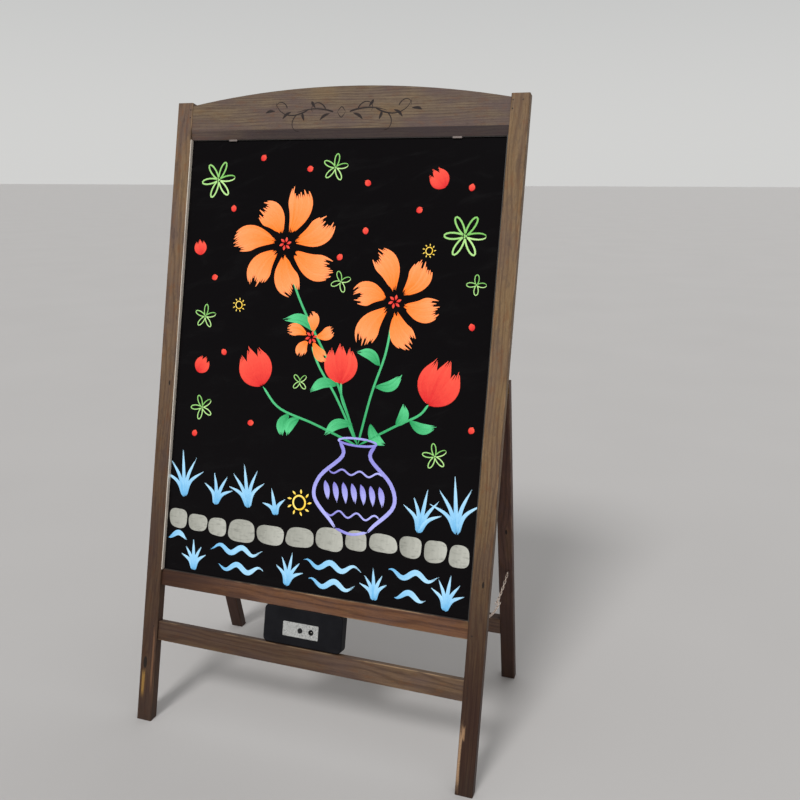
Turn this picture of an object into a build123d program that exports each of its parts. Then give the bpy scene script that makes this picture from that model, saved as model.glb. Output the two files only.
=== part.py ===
from build123d import *
import os
from math import atan2, cos, degrees, hypot, radians, sin

os.makedirs("parts", exist_ok=True)

# Frame of the whole model: +X to the viewer's right, +Y to the back, +Z up, origin on the floor
# under the middle of the bounding box. Pieces of the front frame are drawn upright first, with
# their depth measured back from the stiles' front face, and then leaned back together.

# Cuts run past the faces that they open by this much
overrun = 2.0
# Gap between pieces that are pushed together but not glued
fit_gap = 0.1
# Play round fixed round pieces, such as a screw in its hole
hole_play = 0.05
# Play round pieces that slide or turn freely
free_play = 0.3

# Writing panel, its backing sheet and the opening that it fills
panel_width = 600.0
panel_height = 808.0
panel_thickness = 4.0
panel_lap = 4.0
backing_thickness = 1.0

# Front frame stock
lean_angle = 14.0
stile_width = 31.0
stile_depth = 18.0
stile_rise = 5.0
wood_round = 2.0
back_round = 1.0
board_height_above_foot = 290.0
front_lip = 7.0
header_end_height = 62.0
header_arch_rise = 27.0
header_set_back = 2.0
header_bevel_height = 16.0
header_bevel_depth = 3.0
header_round = 1.2
rail_set_back = 5.0
rail_round = 1.2
lower_rail_height = 30.5
stretcher_height = 36.0
stretcher_gap = 68.7

# Edge channels round the panel
channel_wall = 1.2
channel_set_back = 0.8
led_room = 2.8
lead_room = 3.5

# Light strips
strip_thickness = 0.4
strip_width = 4.8
chip_length = 3.5
chip_width = 2.8
chip_height = 1.3
chip_count = 24
pad_length = 5.0
pad_height = 1.9
strip_end_gap = 4.0

# Leads from the control box to the strips
lead_radius = 0.8
lead_bore_radius = 1.2
lead_spread = 5.0
lead_depth = 10.8
lead_rail_bend = 8.0
lead_corner_bend = 5.0

# Clips on the top channel
clip_length = 16.0
clip_height = 3.0
clip_thickness = 0.8
clip_spread = 210.0

# Rear cover and its screws
cover_thickness = 3.0
cover_ledge = 14.0
cover_screw_columns = 4
cover_screw_spacing = 160.0
wood_screw_radius = 1.5
wood_screw_head_radius = 2.8
wood_screw_head_height = 1.6
wood_screw_length = 10.0

# Dowels in the frame joints
dowel_radius = 3.0
dowel_length = 30.0
header_dowel_spacing = 18.0
header_dowel_drop = 18.0
stretcher_dowel_spacing = 16.0
lower_rail_dowel_height = 7.5

# Control box
box_width = 152.0
box_depth = 20.0
box_set_back = 7.0
box_offset = -3.5
box_wall = 2.0
box_corner = 9.0
box_front_round = 2.5
box_stretcher_gap = 0.5
boss_inset = 5.0
boss_radius = 3.1
box_screw_radius = 1.1
box_screw_length = 9.0
board_screw_length = 7.0
box_screw_head_radius = 2.1
box_screw_head_height = 1.3
mount_screw_spread = 43.0
mount_screw_depth = 12.5

# Face plate with the button and the socket
plate_width = 68.5
plate_height = 25.8
plate_thickness = 0.8
plate_corner = 1.5
plate_offset = -6.5
plate_height_above_box_foot = 30.2
button_radius = 4.4
button_proud = 1.5
button_travel = 1.2
button_flange_radius = 5.6
button_flange_thickness = 1.0
button_dish_radius = 12.0
button_dish_depth = 0.35
button_offset = -7.0
socket_offset = 14.0
socket_flange_radius = 4.9
socket_flange_thickness = 0.6
socket_barrel_radius = 4.0
socket_bore_radius = 3.2
socket_bore_depth = 8.2
socket_pin_radius = 1.05
socket_pin_set_back = 1.6
socket_pin_tip = 0.4

# Control board and what sits on it
board_width = 60.0
board_height = 32.0
board_thickness = 1.6
board_stand_off = 6.0
post_radius = 2.6
post_inset = 4.0
switch_size = 6.0
plunger_radius = 1.7
plunger_reach = 1.2
connector_width = 16.0
connector_height = 8.0
# Place across and up, width and height as shares of the board, and standing height of its thickness
component_shares = (
    (-0.32, -0.24, 0.117, 0.156, 1.4),
    (0.05, -0.33, 0.067, 0.125, 0.9),
    (0.36, 0.30, 0.15, 0.188, 1.6),
)
cell_thickness = 10.0
cell_round = 1.5
cell_wall_gap = 2.0
cell_board_gap = 5.0
cell_boss_gap = 0.95
tape_thickness = 0.5
tape_share = 0.7
tab_width = 3.0
tab_thickness = 0.3
tab_spacing = 9.0

# Hinges between the stiles and the rear legs
hinge_height = 688.0
hinge_radius = 2.5
hinge_pin_radius = 1.25
hinge_length = 22.0
hinge_leaf_height = 20.0
hinge_leaf_thickness = 1.2
hinge_inset = 1.0
hinge_turn_play = 0.05
knuckle_share = 0.3
leaf_screw_radius = 1.2
leaf_screw_head_radius = 2.3
leaf_screw_length = 9.0
leaf_screw_across_share = 0.27
leaf_screw_down_share = 0.62
leaf_screw_stagger = 2.5

# Rear frame
rear_angle = 14.1
rear_leg_width = 27.0
rear_leg_depth = 18.0
rear_leg_top_gap = 0.7
rear_rail_drop = 530.0
rear_rail_height = 36.0

# Chains between the stiles and the rear legs
eye_ring_radius = 3.4
eye_wire_radius = 0.8
eye_neck = 0.8
eye_shank_length = 11.0
front_eye_inset = 3.7
front_eye_drop = 391.0
rear_eye_drop = 403.0
chain_side_gap = 0.3
chain_sag = 18.0
chain_links_per_half = 11
link_wire_radius = 0.65
link_inner_width = 2.0
link_play = 0.1
# Steps in which the chain's line is measured
chain_line_steps = 4000

# Lines worked out from the sizes above
opening_half = panel_width / 2 - panel_lap
half_width = opening_half + stile_width
opening_bottom = board_height_above_foot
opening_top = opening_bottom + panel_height - 2 * panel_lap
opening_middle = (opening_bottom + opening_top) / 2
header_end_top = opening_top + header_end_height
stile_top = header_end_top + stile_rise
lower_rail_bottom = opening_bottom - lower_rail_height
stretcher_top = lower_rail_bottom - stretcher_gap
stretcher_bottom = stretcher_top - stretcher_height
panel_bottom = opening_bottom - panel_lap
channel_foot = panel_bottom - fit_gap - channel_wall
lead_line = channel_foot - lead_room + lead_bore_radius
stile_rebate_bottom = channel_foot - lead_room
channel_head = 2 * opening_middle - channel_foot
panel_front = front_lip + channel_wall
backing_front = panel_front + panel_thickness
channel_slot_back = backing_front + backing_thickness + fit_gap
cover_front = channel_slot_back + channel_wall
web_inner = panel_width / 2 + led_room
web_outer = web_inner + channel_wall
rebate_side = web_outer + fit_gap
lip_inner = opening_half - channel_wall
cover_bottom = channel_foot - cover_ledge
cover_top = channel_head + cover_ledge
lean = radians(lean_angle)
rear_lean = radians(rear_angle)


def leaned(depth, height):
    """Y and Z of a point of the front frame, counted from the stiles' front foot edge."""
    return depth * cos(lean) + height * sin(lean), height * cos(lean) - depth * sin(lean)


def rear_leaned(depth, height):
    """Y and Z of a point of the rear frame, counted from the hinge axis."""
    return depth * cos(rear_lean) - height * sin(rear_lean), height * cos(rear_lean) + depth * sin(rear_lean)


pivot_depth = stile_depth + hinge_radius
pivot_run, pivot_z = leaned(pivot_depth, hinge_height)
rear_back = hinge_radius + rear_leg_depth
rear_foot_height = -(pivot_z + rear_back * sin(rear_lean)) / cos(rear_lean)
footprint = pivot_run + rear_leaned(rear_back, rear_foot_height)[0]
front_edge_y = -footprint / 2
pivot_y = front_edge_y + pivot_run

FRONT = Pos(0, front_edge_y, 0) * Rot(-lean_angle, 0, 0)
REAR = Pos(0, pivot_y, pivot_z) * Rot(rear_angle, 0, 0)
SIDES = (("left", -1), ("right", 1))


def write(name, shape):
    """Write one piece under its node name."""
    shape.label = name
    export_step(shape, "parts/" + name + ".step")
    print(name, round(shape.volume, 1))


def block(x0, x1, y0, y1, z0, z1):
    """Box between two values on each axis."""
    size = (abs(x1 - x0), abs(y1 - y0), abs(z1 - z0))
    return Pos((x0 + x1) / 2, (y0 + y1) / 2, (z0 + z1) / 2) * Box(*size)


def prism_x(points, x0, x1):
    """Outline of (y, z) points drawn out from x0 to x1."""
    face = Plane.YZ * make_face(Polyline(*points, close=True))
    return Pos(min(x0, x1), 0, 0) * extrude(face, amount=abs(x1 - x0))


def prism_y(face, y0, y1):
    """Face drawn in X and Z, as its own X and Y, drawn out from depth y0 to y1."""
    return Pos(0, y1, 0) * extrude(Plane.XZ * face, amount=y1 - y0)


def rod(start, end, radius):
    """Round rod between two points."""
    along = Vector(*end) - Vector(*start)
    return extrude(Plane(origin=start, z_dir=along) * Circle(radius), amount=along.length)


def bar(x0, x1, y0, y1, z0, z1, front_round, rear_round):
    """Upright wooden bar, with its long edges rounded."""
    face = Pos((x0 + x1) / 2, (y0 + y1) / 2) * Rectangle(x1 - x0, y1 - y0)
    front = face.vertices().group_by(Axis.Y)[0]
    face = fillet(front, front_round)
    back = face.vertices().group_by(Axis.Y)[-1]
    face = fillet(back, rear_round)
    return Pos(0, 0, z0) * extrude(face, amount=z1 - z0)


def rail(x_half, y0, y1, z0, z1, front_round, rear_round):
    """Wooden rail from side to side, with its long edges rounded."""
    face = Pos((y0 + y1) / 2, (z0 + z1) / 2) * Rectangle(y1 - y0, z1 - z0)
    face = fillet(face.vertices().group_by(Axis.X)[0], front_round)
    face = fillet(face.vertices().group_by(Axis.X)[-1], rear_round)
    return Pos(-x_half, 0, 0) * extrude(Plane.YZ * face, amount=2 * x_half)


def above_floor(shape):
    """Cut a leaning leg level at the floor."""
    return shape - block(-2 * half_width, 2 * half_width, -2 * footprint, 2 * footprint, -panel_height, 0)


def screw(tip, head, shank_radius, head_radius, head_height, hole=0.0):
    """Pan-head screw from its tip to the underside of its head, or the hole for it."""
    if hole:
        return rod(tip, head, shank_radius + hole)
    out = (Vector(*head) - Vector(*tip)).normalized()
    top = Vector(*head) + out * head_height
    cap = rod(head, tuple(top), head_radius)
    cap = fillet(cap.edges().filter_by(GeomType.CIRCLE).sort_by_distance(Vector(*head) + out * panel_width)[0],
                 head_height / 2)
    return rod(tip, head, shank_radius) + cap


# Places of fasteners and joints that several pieces share
dowel_depth = (rail_set_back + stile_depth) / 2
cover_screw_rows = ((cover_bottom + channel_foot) / 2, (cover_top + channel_head) / 2)
cover_back = cover_front + cover_thickness
cover_screw_lines = [(index - (cover_screw_columns - 1) / 2) * cover_screw_spacing
                     for index in range(cover_screw_columns)]
dowel_heights = (
    lower_rail_bottom + lower_rail_dowel_height,
    stretcher_bottom + (stretcher_height - stretcher_dowel_spacing) / 2,
    stretcher_bottom + (stretcher_height + stretcher_dowel_spacing) / 2,
    header_end_top - header_dowel_drop,
    header_end_top - header_dowel_drop - header_dowel_spacing,
)
leaf_x = half_width - hinge_inset - hinge_length / 2
leaf_screw_x = leaf_screw_across_share * hinge_length
leaf_screw_drop = leaf_screw_down_share * hinge_leaf_height
leaf_screw_places = ((leaf_screw_x, leaf_screw_drop - leaf_screw_stagger),
                     (-leaf_screw_x, leaf_screw_drop + leaf_screw_stagger))
front_eye_x = half_width - front_eye_inset
link_outer_width = link_inner_width + 4 * link_wire_radius
rear_eye_x = front_eye_x - link_outer_width - chain_side_gap
eye_reach = eye_neck + eye_wire_radius + eye_ring_radius


def dowels(side, play=0.0):
    """Dowels of one side of the front frame, or the bores for them."""
    reach = dowel_length / 2 + play
    return [rod((side * (opening_half - reach), dowel_depth, z), (side * (opening_half + reach), dowel_depth, z),
                dowel_radius + play) for z in dowel_heights]


def cover_screws(play=0.0):
    """Screws of the rear cover, or the holes for them."""
    return [screw((x, cover_back - wood_screw_length, z), (x, cover_back, z), wood_screw_radius,
                  wood_screw_head_radius, wood_screw_head_height, play)
            for z in cover_screw_rows for x in cover_screw_lines]


def leaf_screws(side, face, into, axis_height, play=0.0):
    """Countersunk screws of one hinge leaf, or the wood's holes for them."""
    made = []
    for dx, drop in leaf_screw_places:
        x = side * (leaf_x + dx)
        z = axis_height - drop
        tip = face + into * leaf_screw_length
        shank = rod((x, face, z), (x, tip, z), leaf_screw_radius + play)
        if not play:
            shank += leaf_countersink(x, face, into, z)
        made.append(shank)
    return made


def leaf_countersink(x, face, into, z, play=0.0):
    """Cone of a countersunk head, flush with the leaf's open face, or the leaf's hole for it."""
    cone = Cone(leaf_screw_radius + play, leaf_screw_head_radius + play, hinge_leaf_thickness)
    return Pos(x, face + into * hinge_leaf_thickness / 2, z) * Rot(90 * into, 0, 0) * cone


def front_eye_place():
    """Depth and height of the ring centre of a front chain eye."""
    return stile_depth + eye_reach, hinge_height - front_eye_drop


def rear_eye_place():
    """Depth and height of the ring centre of a rear chain eye, from the hinge axis."""
    return hinge_radius - eye_reach, -rear_eye_drop


def front_eye_shank(side, play=0.0):
    """Shank of a front eye, or the stile's hole for it."""
    depth, z = front_eye_place()
    end = stile_depth - eye_shank_length
    start = depth - eye_ring_radius
    return rod((side * front_eye_x, start, z), (side * front_eye_x, end, z), eye_wire_radius + play)


def rear_eye_shank(side, play=0.0):
    """Shank of a rear eye, or the leg's hole for it."""
    depth, z = rear_eye_place()
    end = hinge_radius + eye_shank_length
    start = depth + eye_ring_radius
    return rod((side * rear_eye_x, start, z), (side * rear_eye_x, end, z), eye_wire_radius + play)


def eye_ring(x, depth, z):
    """Closed ring of a screw eye, standing in the plane across the hinge axis."""
    return Pos(x, depth, z) * Rot(0, 90, 0) * Torus(eye_ring_radius, eye_wire_radius)


def stile(side):
    """Stile with the rebates for panel and cover, its bores and its level foot."""
    body = bar(opening_half, half_width, 0, stile_depth, -overrun, stile_top, wood_round, back_round)
    body = fillet(body.faces().sort_by(Axis.Z)[-1].edges(), back_round / 2)
    body -= block(opening_half - overrun, rebate_side, front_lip, stile_depth + overrun,
                  stile_rebate_bottom, channel_head + fit_gap)
    body -= block(opening_half - overrun, rebate_side, cover_front, stile_depth + overrun,
                  cover_bottom - fit_gap, cover_top + fit_gap)
    if side < 0:
        body = mirror(body, about=Plane.YZ)
    for bore in dowels(side, hole_play):
        body -= bore
    for bore in leaf_screws(side, stile_depth, -1, hinge_height, hole_play):
        body -= bore
    body -= front_eye_shank(side, hole_play)
    return above_floor(FRONT * body)


def header_board():
    """Arched header with a bevel along its lower front edge and the rebate for panel and cover."""
    left_low = (-opening_half, opening_top)
    right_low = (opening_half, opening_top)
    right_top = (opening_half, header_end_top)
    left_top = (-opening_half, header_end_top)
    arch = ThreePointArc(right_top, (0, header_end_top + header_arch_rise), left_top)
    outline = Wire([Line(left_top, left_low), Line(left_low, right_low), Line(right_low, right_top), arch])
    body = prism_y(make_face(outline), header_set_back, stile_depth)
    body = fillet(body.edges().filter_by(GeomType.CIRCLE), header_round)
    bevel_top = opening_top + header_bevel_height
    bevel_back = header_set_back + header_bevel_depth
    bevel = [(header_set_back, bevel_top), (bevel_back, opening_top), (bevel_back, opening_top - overrun),
             (header_set_back - overrun, opening_top - overrun), (header_set_back - overrun, bevel_top)]
    body -= prism_x(bevel, -opening_half - overrun, opening_half + overrun)
    body -= block(-opening_half - overrun, opening_half + overrun, front_lip, stile_depth + overrun,
                  opening_top - overrun, channel_head + fit_gap)
    body -= block(-opening_half - overrun, opening_half + overrun, cover_front, stile_depth + overrun,
                  opening_top - overrun, cover_top + fit_gap)
    return FRONT * cut_all(body, dowels(-1, hole_play) + dowels(1, hole_play) + cover_screws(hole_play))


def cut_all(body, tools):
    """Body less each of the tools."""
    for tool in tools:
        body -= tool
    return body


def lead_path(side, low, high):
    """Route of a lead: up through the rail, along it under the panel and up into the side channel."""
    x_in = side * lead_spread
    x_out = side * (panel_width / 2 + pad_height - lead_radius / 2)
    points = [(x_in, lead_depth, low), (x_in, lead_depth, lead_line), (x_out, lead_depth, lead_line),
              (x_out, lead_depth, high)]
    return FilletPolyline(*points, radius=[lead_rail_bend, lead_corner_bend])


def lower_rail():
    """Rail under the panel, with the rebate, the lead groove and the bores."""
    body = rail(opening_half, rail_set_back, stile_depth, lower_rail_bottom, opening_bottom, rail_round, back_round)
    wide = opening_half + overrun
    body -= block(-wide, wide, front_lip, stile_depth + overrun, channel_foot, opening_bottom + overrun)
    body -= block(-wide, wide, cover_front, stile_depth + overrun, cover_bottom - fit_gap, opening_bottom + overrun)
    groove_front, groove_back = lead_depth - lead_radius - free_play, lead_depth + lead_radius + free_play
    body -= block(-wide, wide, groove_front, groove_back, lead_line - lead_bore_radius, channel_foot + overrun)
    for side in (-1, 1):
        x = side * lead_spread
        bend_foot = lead_line - lead_rail_bend - lead_bore_radius
        body -= rod((x, lead_depth, lower_rail_bottom - overrun), (x, lead_depth, lead_line), lead_bore_radius)
        body -= block(x, side * (lead_spread + lead_rail_bend + lead_bore_radius), groove_front, groove_back,
                      bend_foot, channel_foot)
    body = cut_all(body, dowels(-1, hole_play) + dowels(1, hole_play) + cover_screws(hole_play))
    return FRONT * cut_all(body, mount_screws(hole_play))


def stretcher():
    """Plain rail near the floor."""
    body = rail(opening_half, rail_set_back, stile_depth, stretcher_bottom, stretcher_top, rail_round, back_round)
    return FRONT * cut_all(body, dowels(-1, hole_play) + dowels(1, hole_play))


def side_channel(side):
    """Edge channel beside the panel: a lip along the stile, a slot for the panel and room for the light strip."""
    lip_front = channel_set_back
    outline = [(lip_inner, lip_front), (opening_half, lip_front), (opening_half, front_lip), (web_outer, front_lip),
               (web_outer, cover_front), (opening_half, cover_front), (opening_half, channel_slot_back),
               (web_inner, channel_slot_back), (web_inner, panel_front), (lip_inner, panel_front)]
    face = make_face(Polyline(*outline, close=True))
    body = Pos(0, 0, channel_foot) * extrude(face, amount=channel_head - channel_foot)
    for low, high in ((channel_foot - overrun, opening_bottom), (opening_top, channel_head + overrun)):
        body -= block(lip_inner - overrun, opening_half, lip_front - overrun, front_lip, low, high)
    if side < 0:
        body = mirror(body, about=Plane.YZ)
    return FRONT * body


def cross_channel(upper):
    """Edge channel above or below the panel, between the side channels."""
    lip_front = rail_set_back + channel_set_back
    outline = [(lip_front, opening_bottom), (front_lip, opening_bottom), (front_lip, channel_foot),
               (cover_front, channel_foot), (cover_front, opening_bottom), (channel_slot_back, opening_bottom),
               (channel_slot_back, channel_foot + channel_wall), (panel_front, channel_foot + channel_wall),
               (panel_front, opening_bottom + channel_wall), (lip_front, opening_bottom + channel_wall)]
    if upper:
        outline = [(y, 2 * opening_middle - z) for y, z in outline]
    x_half = lip_inner - fit_gap
    return FRONT * prism_x(outline, -x_half, x_half)


def sheet(front, thickness):
    """Flat sheet of the panel's size at one depth."""
    x_half = panel_width / 2
    return FRONT * block(-x_half, x_half, front, front + thickness, panel_bottom, panel_bottom + panel_height)


def rear_cover():
    """Thin cover behind the panel, inside the frame's rebate."""
    x_half = rebate_side - fit_gap
    body = block(-x_half, x_half, cover_front, cover_back, cover_bottom, cover_top)
    return FRONT * cut_all(body, cover_screws(hole_play))


def strip_bottom():
    """Lower end of a light strip, where its lead arrives."""
    return panel_bottom + strip_end_gap


def led_strip(side):
    """Flexible light strip on the channel's web, with a solder pad at its lower end."""
    middle = (panel_front + channel_slot_back) / 2
    y0, y1 = middle - strip_width / 2, middle + strip_width / 2
    x1 = web_inner
    low = strip_bottom()
    tape = block(side * (x1 - strip_thickness), side * x1, y0, y1, low, 2 * opening_middle - low)
    pad = block(side * (panel_width / 2 + led_room - pad_height - strip_thickness), side * x1, y0, y1,
                low, low + pad_length)
    return FRONT * (tape + pad)


def led_chips(side):
    """Row of light chips on a strip."""
    middle = (panel_front + channel_slot_back) / 2
    x1 = web_inner - strip_thickness
    length = panel_height - 2 * (strip_end_gap + pad_length)
    pitch = length / chip_count
    chips = []
    for index in range(chip_count):
        z = strip_bottom() + pad_length + (index + 1 / 2) * pitch
        chips.append(FRONT * block(side * (x1 - chip_height), side * x1, middle - chip_width / 2,
                                   middle + chip_width / 2, z - chip_length / 2, z + chip_length / 2))
    return Compound(chips)


def top_clips():
    """Two small clips that hold the top channel's lip."""
    lip_front = rail_set_back + channel_set_back
    lip_foot = opening_top - channel_wall
    clips = []
    for side in (-1, 1):
        x0, x1 = side * clip_spread - clip_length / 2, side * clip_spread + clip_length / 2
        front = block(x0, x1, lip_front - clip_thickness, lip_front, opening_top - clip_height, opening_top)
        under = block(x0, x1, lip_front, panel_front - fit_gap, lip_foot - clip_thickness, lip_foot)
        clips.append(FRONT * (front + under))
    return Compound(clips)


# Control box lines
box_top = lower_rail_bottom - fit_gap
box_bottom = stretcher_top + box_stretcher_gap
box_middle = (box_top + box_bottom) / 2
box_height = box_top - box_bottom
box_back = box_set_back + box_depth
cavity_front = box_set_back + box_wall
cavity_back = box_back - box_wall
plate_middle = box_bottom + plate_height_above_box_foot
plate_front = box_set_back - plate_thickness
board_front = cavity_front + board_stand_off
board_back = board_front + board_thickness


def rounded_slab(width, height, corner, y0, y1, x=box_offset, z=box_middle):
    """Slab with rounded corners, seen from the front."""
    return prism_y(Pos(x, z) * RectangleRounded(width, height, corner), y0, y1)


def boss_places():
    """Centres of the four screw bosses."""
    dx = box_width / 2 - boss_inset
    dz = box_height / 2 - boss_inset
    return [(box_offset + sx * dx, box_middle + sz * dz) for sx in (-1, 1) for sz in (-1, 1)]


def post_places():
    """Centres of the two posts that carry the control board."""
    dx = board_width / 2 - post_inset
    dz = board_height / 2 - post_inset
    return [(plate_offset - dx, plate_middle - dz), (plate_offset + dx, plate_middle - dz)]


def box_screws(play=0.0):
    """Screws of the box's rear cover and of the control board, or the holes for them."""
    places = [(x, cavity_back + box_wall, z) for x, z in boss_places()]
    places += [(x, board_back, z) for x, z in post_places()]
    made = []
    for x, y, z in places:
        length = box_screw_length if y > board_back else board_screw_length
        made.append(screw((x, y - length, z), (x, y, z), box_screw_radius, box_screw_head_radius,
                          box_screw_head_height, play))
    return made


def mount_screws(play=0.0):
    """Screws that hold the box up against the lower rail, or the holes for them."""
    top = box_top - box_wall
    return [screw((box_offset + s * mount_screw_spread, mount_screw_depth, top + wood_screw_length),
                  (box_offset + s * mount_screw_spread, mount_screw_depth, top), wood_screw_radius,
                  wood_screw_head_radius, wood_screw_head_height, play) for s in (-1, 1)]


def box_front_shell():
    """Front shell of the control box, open at the back."""
    body = rounded_slab(box_width, box_height, box_corner, box_set_back, cavity_back)
    front = body.faces().sort_by(Axis.Y)[0]
    body = fillet(front.edges(), box_front_round)
    body -= rounded_slab(box_width - 2 * box_wall, box_height - 2 * box_wall, box_corner - box_wall,
                         cavity_front, cavity_back + overrun)
    for x, z in boss_places():
        body += rod((x, cavity_front, z), (x, cavity_back, z), boss_radius)
    for x, z in post_places():
        body += rod((x, cavity_front, z), (x, board_front, z), post_radius)
    body -= rod((button_offset, box_set_back - overrun, plate_middle),
                (button_offset, cavity_front + overrun, plate_middle), button_radius + free_play)
    body -= rod((socket_offset, box_set_back - overrun, plate_middle),
                (socket_offset, cavity_front + overrun, plate_middle), socket_barrel_radius + hole_play)
    for side in (-1, 1):
        body -= rod((side * lead_spread, lead_depth, box_top - 2 * box_wall),
                    (side * lead_spread, lead_depth, box_top + overrun), lead_bore_radius)
    return FRONT * cut_all(body, box_screws(hole_play) + mount_screws(hole_play))


def box_rear_cover():
    """Flat rear cover of the control box."""
    body = rounded_slab(box_width, box_height, box_corner, cavity_back, box_back)
    return FRONT * cut_all(body, box_screws(hole_play))


def face_plate():
    """Thin metal plate on the front of the box, with the holes for button and socket."""
    body = rounded_slab(plate_width, plate_height, plate_corner, plate_front, box_set_back, plate_offset, plate_middle)
    for x, radius in ((button_offset, button_radius + free_play), (socket_offset, socket_barrel_radius + hole_play)):
        body -= rod((x, plate_front - overrun, plate_middle), (x, box_set_back + overrun, plate_middle), radius)
    return FRONT * body


def power_button():
    """Round push button with its flange inside the shell and a shallow dish in its cap."""
    x, z = button_offset, plate_middle
    tip = plate_front - button_proud
    flange_front = cavity_front + hole_play
    body = rod((x, tip, z), (x, flange_front, z), button_radius)
    body = fillet(body.faces().sort_by(Axis.Y)[0].edges(), button_dish_depth)
    body += rod((x, flange_front, z), (x, flange_front + button_flange_thickness, z), button_flange_radius)
    ball_centre = tip + button_dish_depth - button_dish_radius
    return FRONT * (body - Pos(x, ball_centre, z) * Sphere(button_dish_radius))


def switch_front():
    """Depth of the front face of the switch housing."""
    return cavity_front + button_flange_thickness + button_travel + free_play


def switch_plunger():
    """Plunger that the button pushes into the switch."""
    start = cavity_front + hole_play + button_flange_thickness
    x, z = button_offset, plate_middle
    return FRONT * rod((x, start, z), (x, switch_front() + plunger_reach, z), plunger_radius)


def power_switch():
    """Switch housing on the board, with the bore that takes the plunger."""
    x, z = button_offset, plate_middle
    half = switch_size / 2
    body = block(x - half, x + half, switch_front(), board_front, z - half, z + half)
    floor = switch_front() + plunger_reach + button_travel + free_play
    body -= rod((x, switch_front() - overrun, z), (x, floor, z), plunger_radius + free_play / 2)
    return FRONT * body


def charging_socket():
    """Round charging socket, from its flange on the plate to the board."""
    x, z = socket_offset, plate_middle
    flange_front = plate_front - socket_flange_thickness
    body = rod((x, flange_front, z), (x, plate_front, z), socket_flange_radius)
    body += rod((x, plate_front, z), (x, board_front, z), socket_barrel_radius)
    body -= rod((x, flange_front - overrun, z), (x, flange_front + socket_bore_depth, z), socket_bore_radius)
    return FRONT * body


def socket_pin():
    """Centre pin of the charging socket."""
    x, z = socket_offset, plate_middle
    flange_front = plate_front - socket_flange_thickness
    body = rod((x, flange_front + socket_pin_set_back, z), (x, flange_front + socket_bore_depth, z), socket_pin_radius)
    return FRONT * fillet(body.faces().sort_by(Axis.Y)[0].edges(), socket_pin_tip)


def control_board():
    """Circuit board with its lead connector and a few components on its back."""
    x0, x1 = plate_offset - board_width / 2, plate_offset + board_width / 2
    z0, z1 = plate_middle - board_height / 2, plate_middle + board_height / 2
    body = block(x0, x1, board_front, board_back, z0, z1)
    body += block(-connector_width / 2, connector_width / 2, lead_depth - 2 * lead_radius, board_front,
                  z1 - connector_height, z1)
    for across_share, up_share, width_share, height_share, rise_share in component_shares:
        x = plate_offset + across_share * board_width
        z = plate_middle + up_share * board_height
        dx, dz = width_share * board_width / 2, height_share * board_height / 2
        body += block(x - dx, x + dx, board_back, board_back + rise_share * board_thickness, z - dz, z + dz)
    return FRONT * cut_all(body, box_screws(hole_play))


def led_lead(side):
    """Lead from the board's connector to the solder pad of a light strip."""
    path = lead_path(side, plate_middle + board_height / 2, strip_bottom())
    return FRONT * sweep(Plane(origin=path @ 0, z_dir=path % 0) * Circle(lead_radius), path=path)


# Cells between the board and the box's side walls, clear of the bosses
cell_back = cavity_back - tape_thickness
cell_front = cell_back - cell_thickness
cell_outer = box_width / 2 - box_wall - cell_wall_gap
cell_inner = board_width / 2 + abs(plate_offset - box_offset) + cell_board_gap
cell_width = cell_outer - cell_inner
cell_height = box_height - 2 * (boss_inset + boss_radius + cell_boss_gap)
cell_middles = [box_offset + side * (cell_outer + cell_inner) / 2 for side in (-1, 1)]


def battery_cells():
    """Two flat cells behind the ends of the face plate."""
    cells = []
    for x in cell_middles:
        face = Pos(x, box_middle) * RectangleRounded(cell_width, cell_height, cell_round)
        cells.append(FRONT * prism_y(face, cell_front, cell_back))
    return Compound(cells)


def cell_tape():
    """Foam tape between the cells and the rear cover."""
    pads = []
    for x in cell_middles:
        face = Pos(x, box_middle) * Rectangle(tape_share * cell_width, tape_share * cell_height)
        pads.append(FRONT * prism_y(face, cell_back, cavity_back))
    return Compound(pads)


def cell_tabs():
    """Metal tabs from the cells' sides to the board's edges."""
    middle = (board_front + board_back) / 2
    tabs = []
    for side in (-1, 1):
        x_cell = box_offset + side * cell_inner
        x_board = plate_offset + side * board_width / 2
        for step in (-1, 1):
            z = plate_middle + step * tab_spacing / 2
            tabs.append(FRONT * block(x_board, x_cell, middle - tab_thickness / 2, middle + tab_thickness / 2,
                                      z - tab_width / 2, z + tab_width / 2))
    return Compound(tabs)


def knuckle_spans():
    """Spans along the hinge, from its middle: the rear leaf's knuckle, then the front leaf's two."""
    inner = hinge_length * knuckle_share / 2 + hinge_turn_play
    outer = hinge_length / 2
    return (-inner, inner), ((-outer, -inner - free_play), (inner + free_play, outer))


def hinge_leaf(side, plate_y0, plate_y1, axis_y, axis_z, spans, gaps, bore_radius, face, into):
    """Hinge leaf with its knuckles and screw holes, in its own frame's upright coordinates."""
    centre = side * leaf_x
    half = hinge_length / 2
    body = block(centre - half, centre + half, plate_y0, plate_y1, axis_z - hinge_leaf_height, axis_z)
    clear = hinge_radius + free_play
    for a, b in gaps:
        body -= block(centre + a - free_play, centre + b + free_play, plate_y0 - overrun, plate_y1 + overrun,
                      axis_z - clear, axis_z + overrun)
    for a, b in spans:
        body += rod((centre + a, axis_y, axis_z), (centre + b, axis_y, axis_z), hinge_radius)
    body -= rod((centre - hinge_length, axis_y, axis_z), (centre + hinge_length, axis_y, axis_z), bore_radius)
    for dx, drop in leaf_screw_places:
        x = side * (leaf_x + dx)
        body -= rod((x, plate_y0 - overrun, axis_z - drop), (x, plate_y1 + overrun, axis_z - drop),
                    leaf_screw_radius + hole_play)
        body -= leaf_countersink(x, face, into, axis_z - drop, hole_play)
    return body


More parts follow.
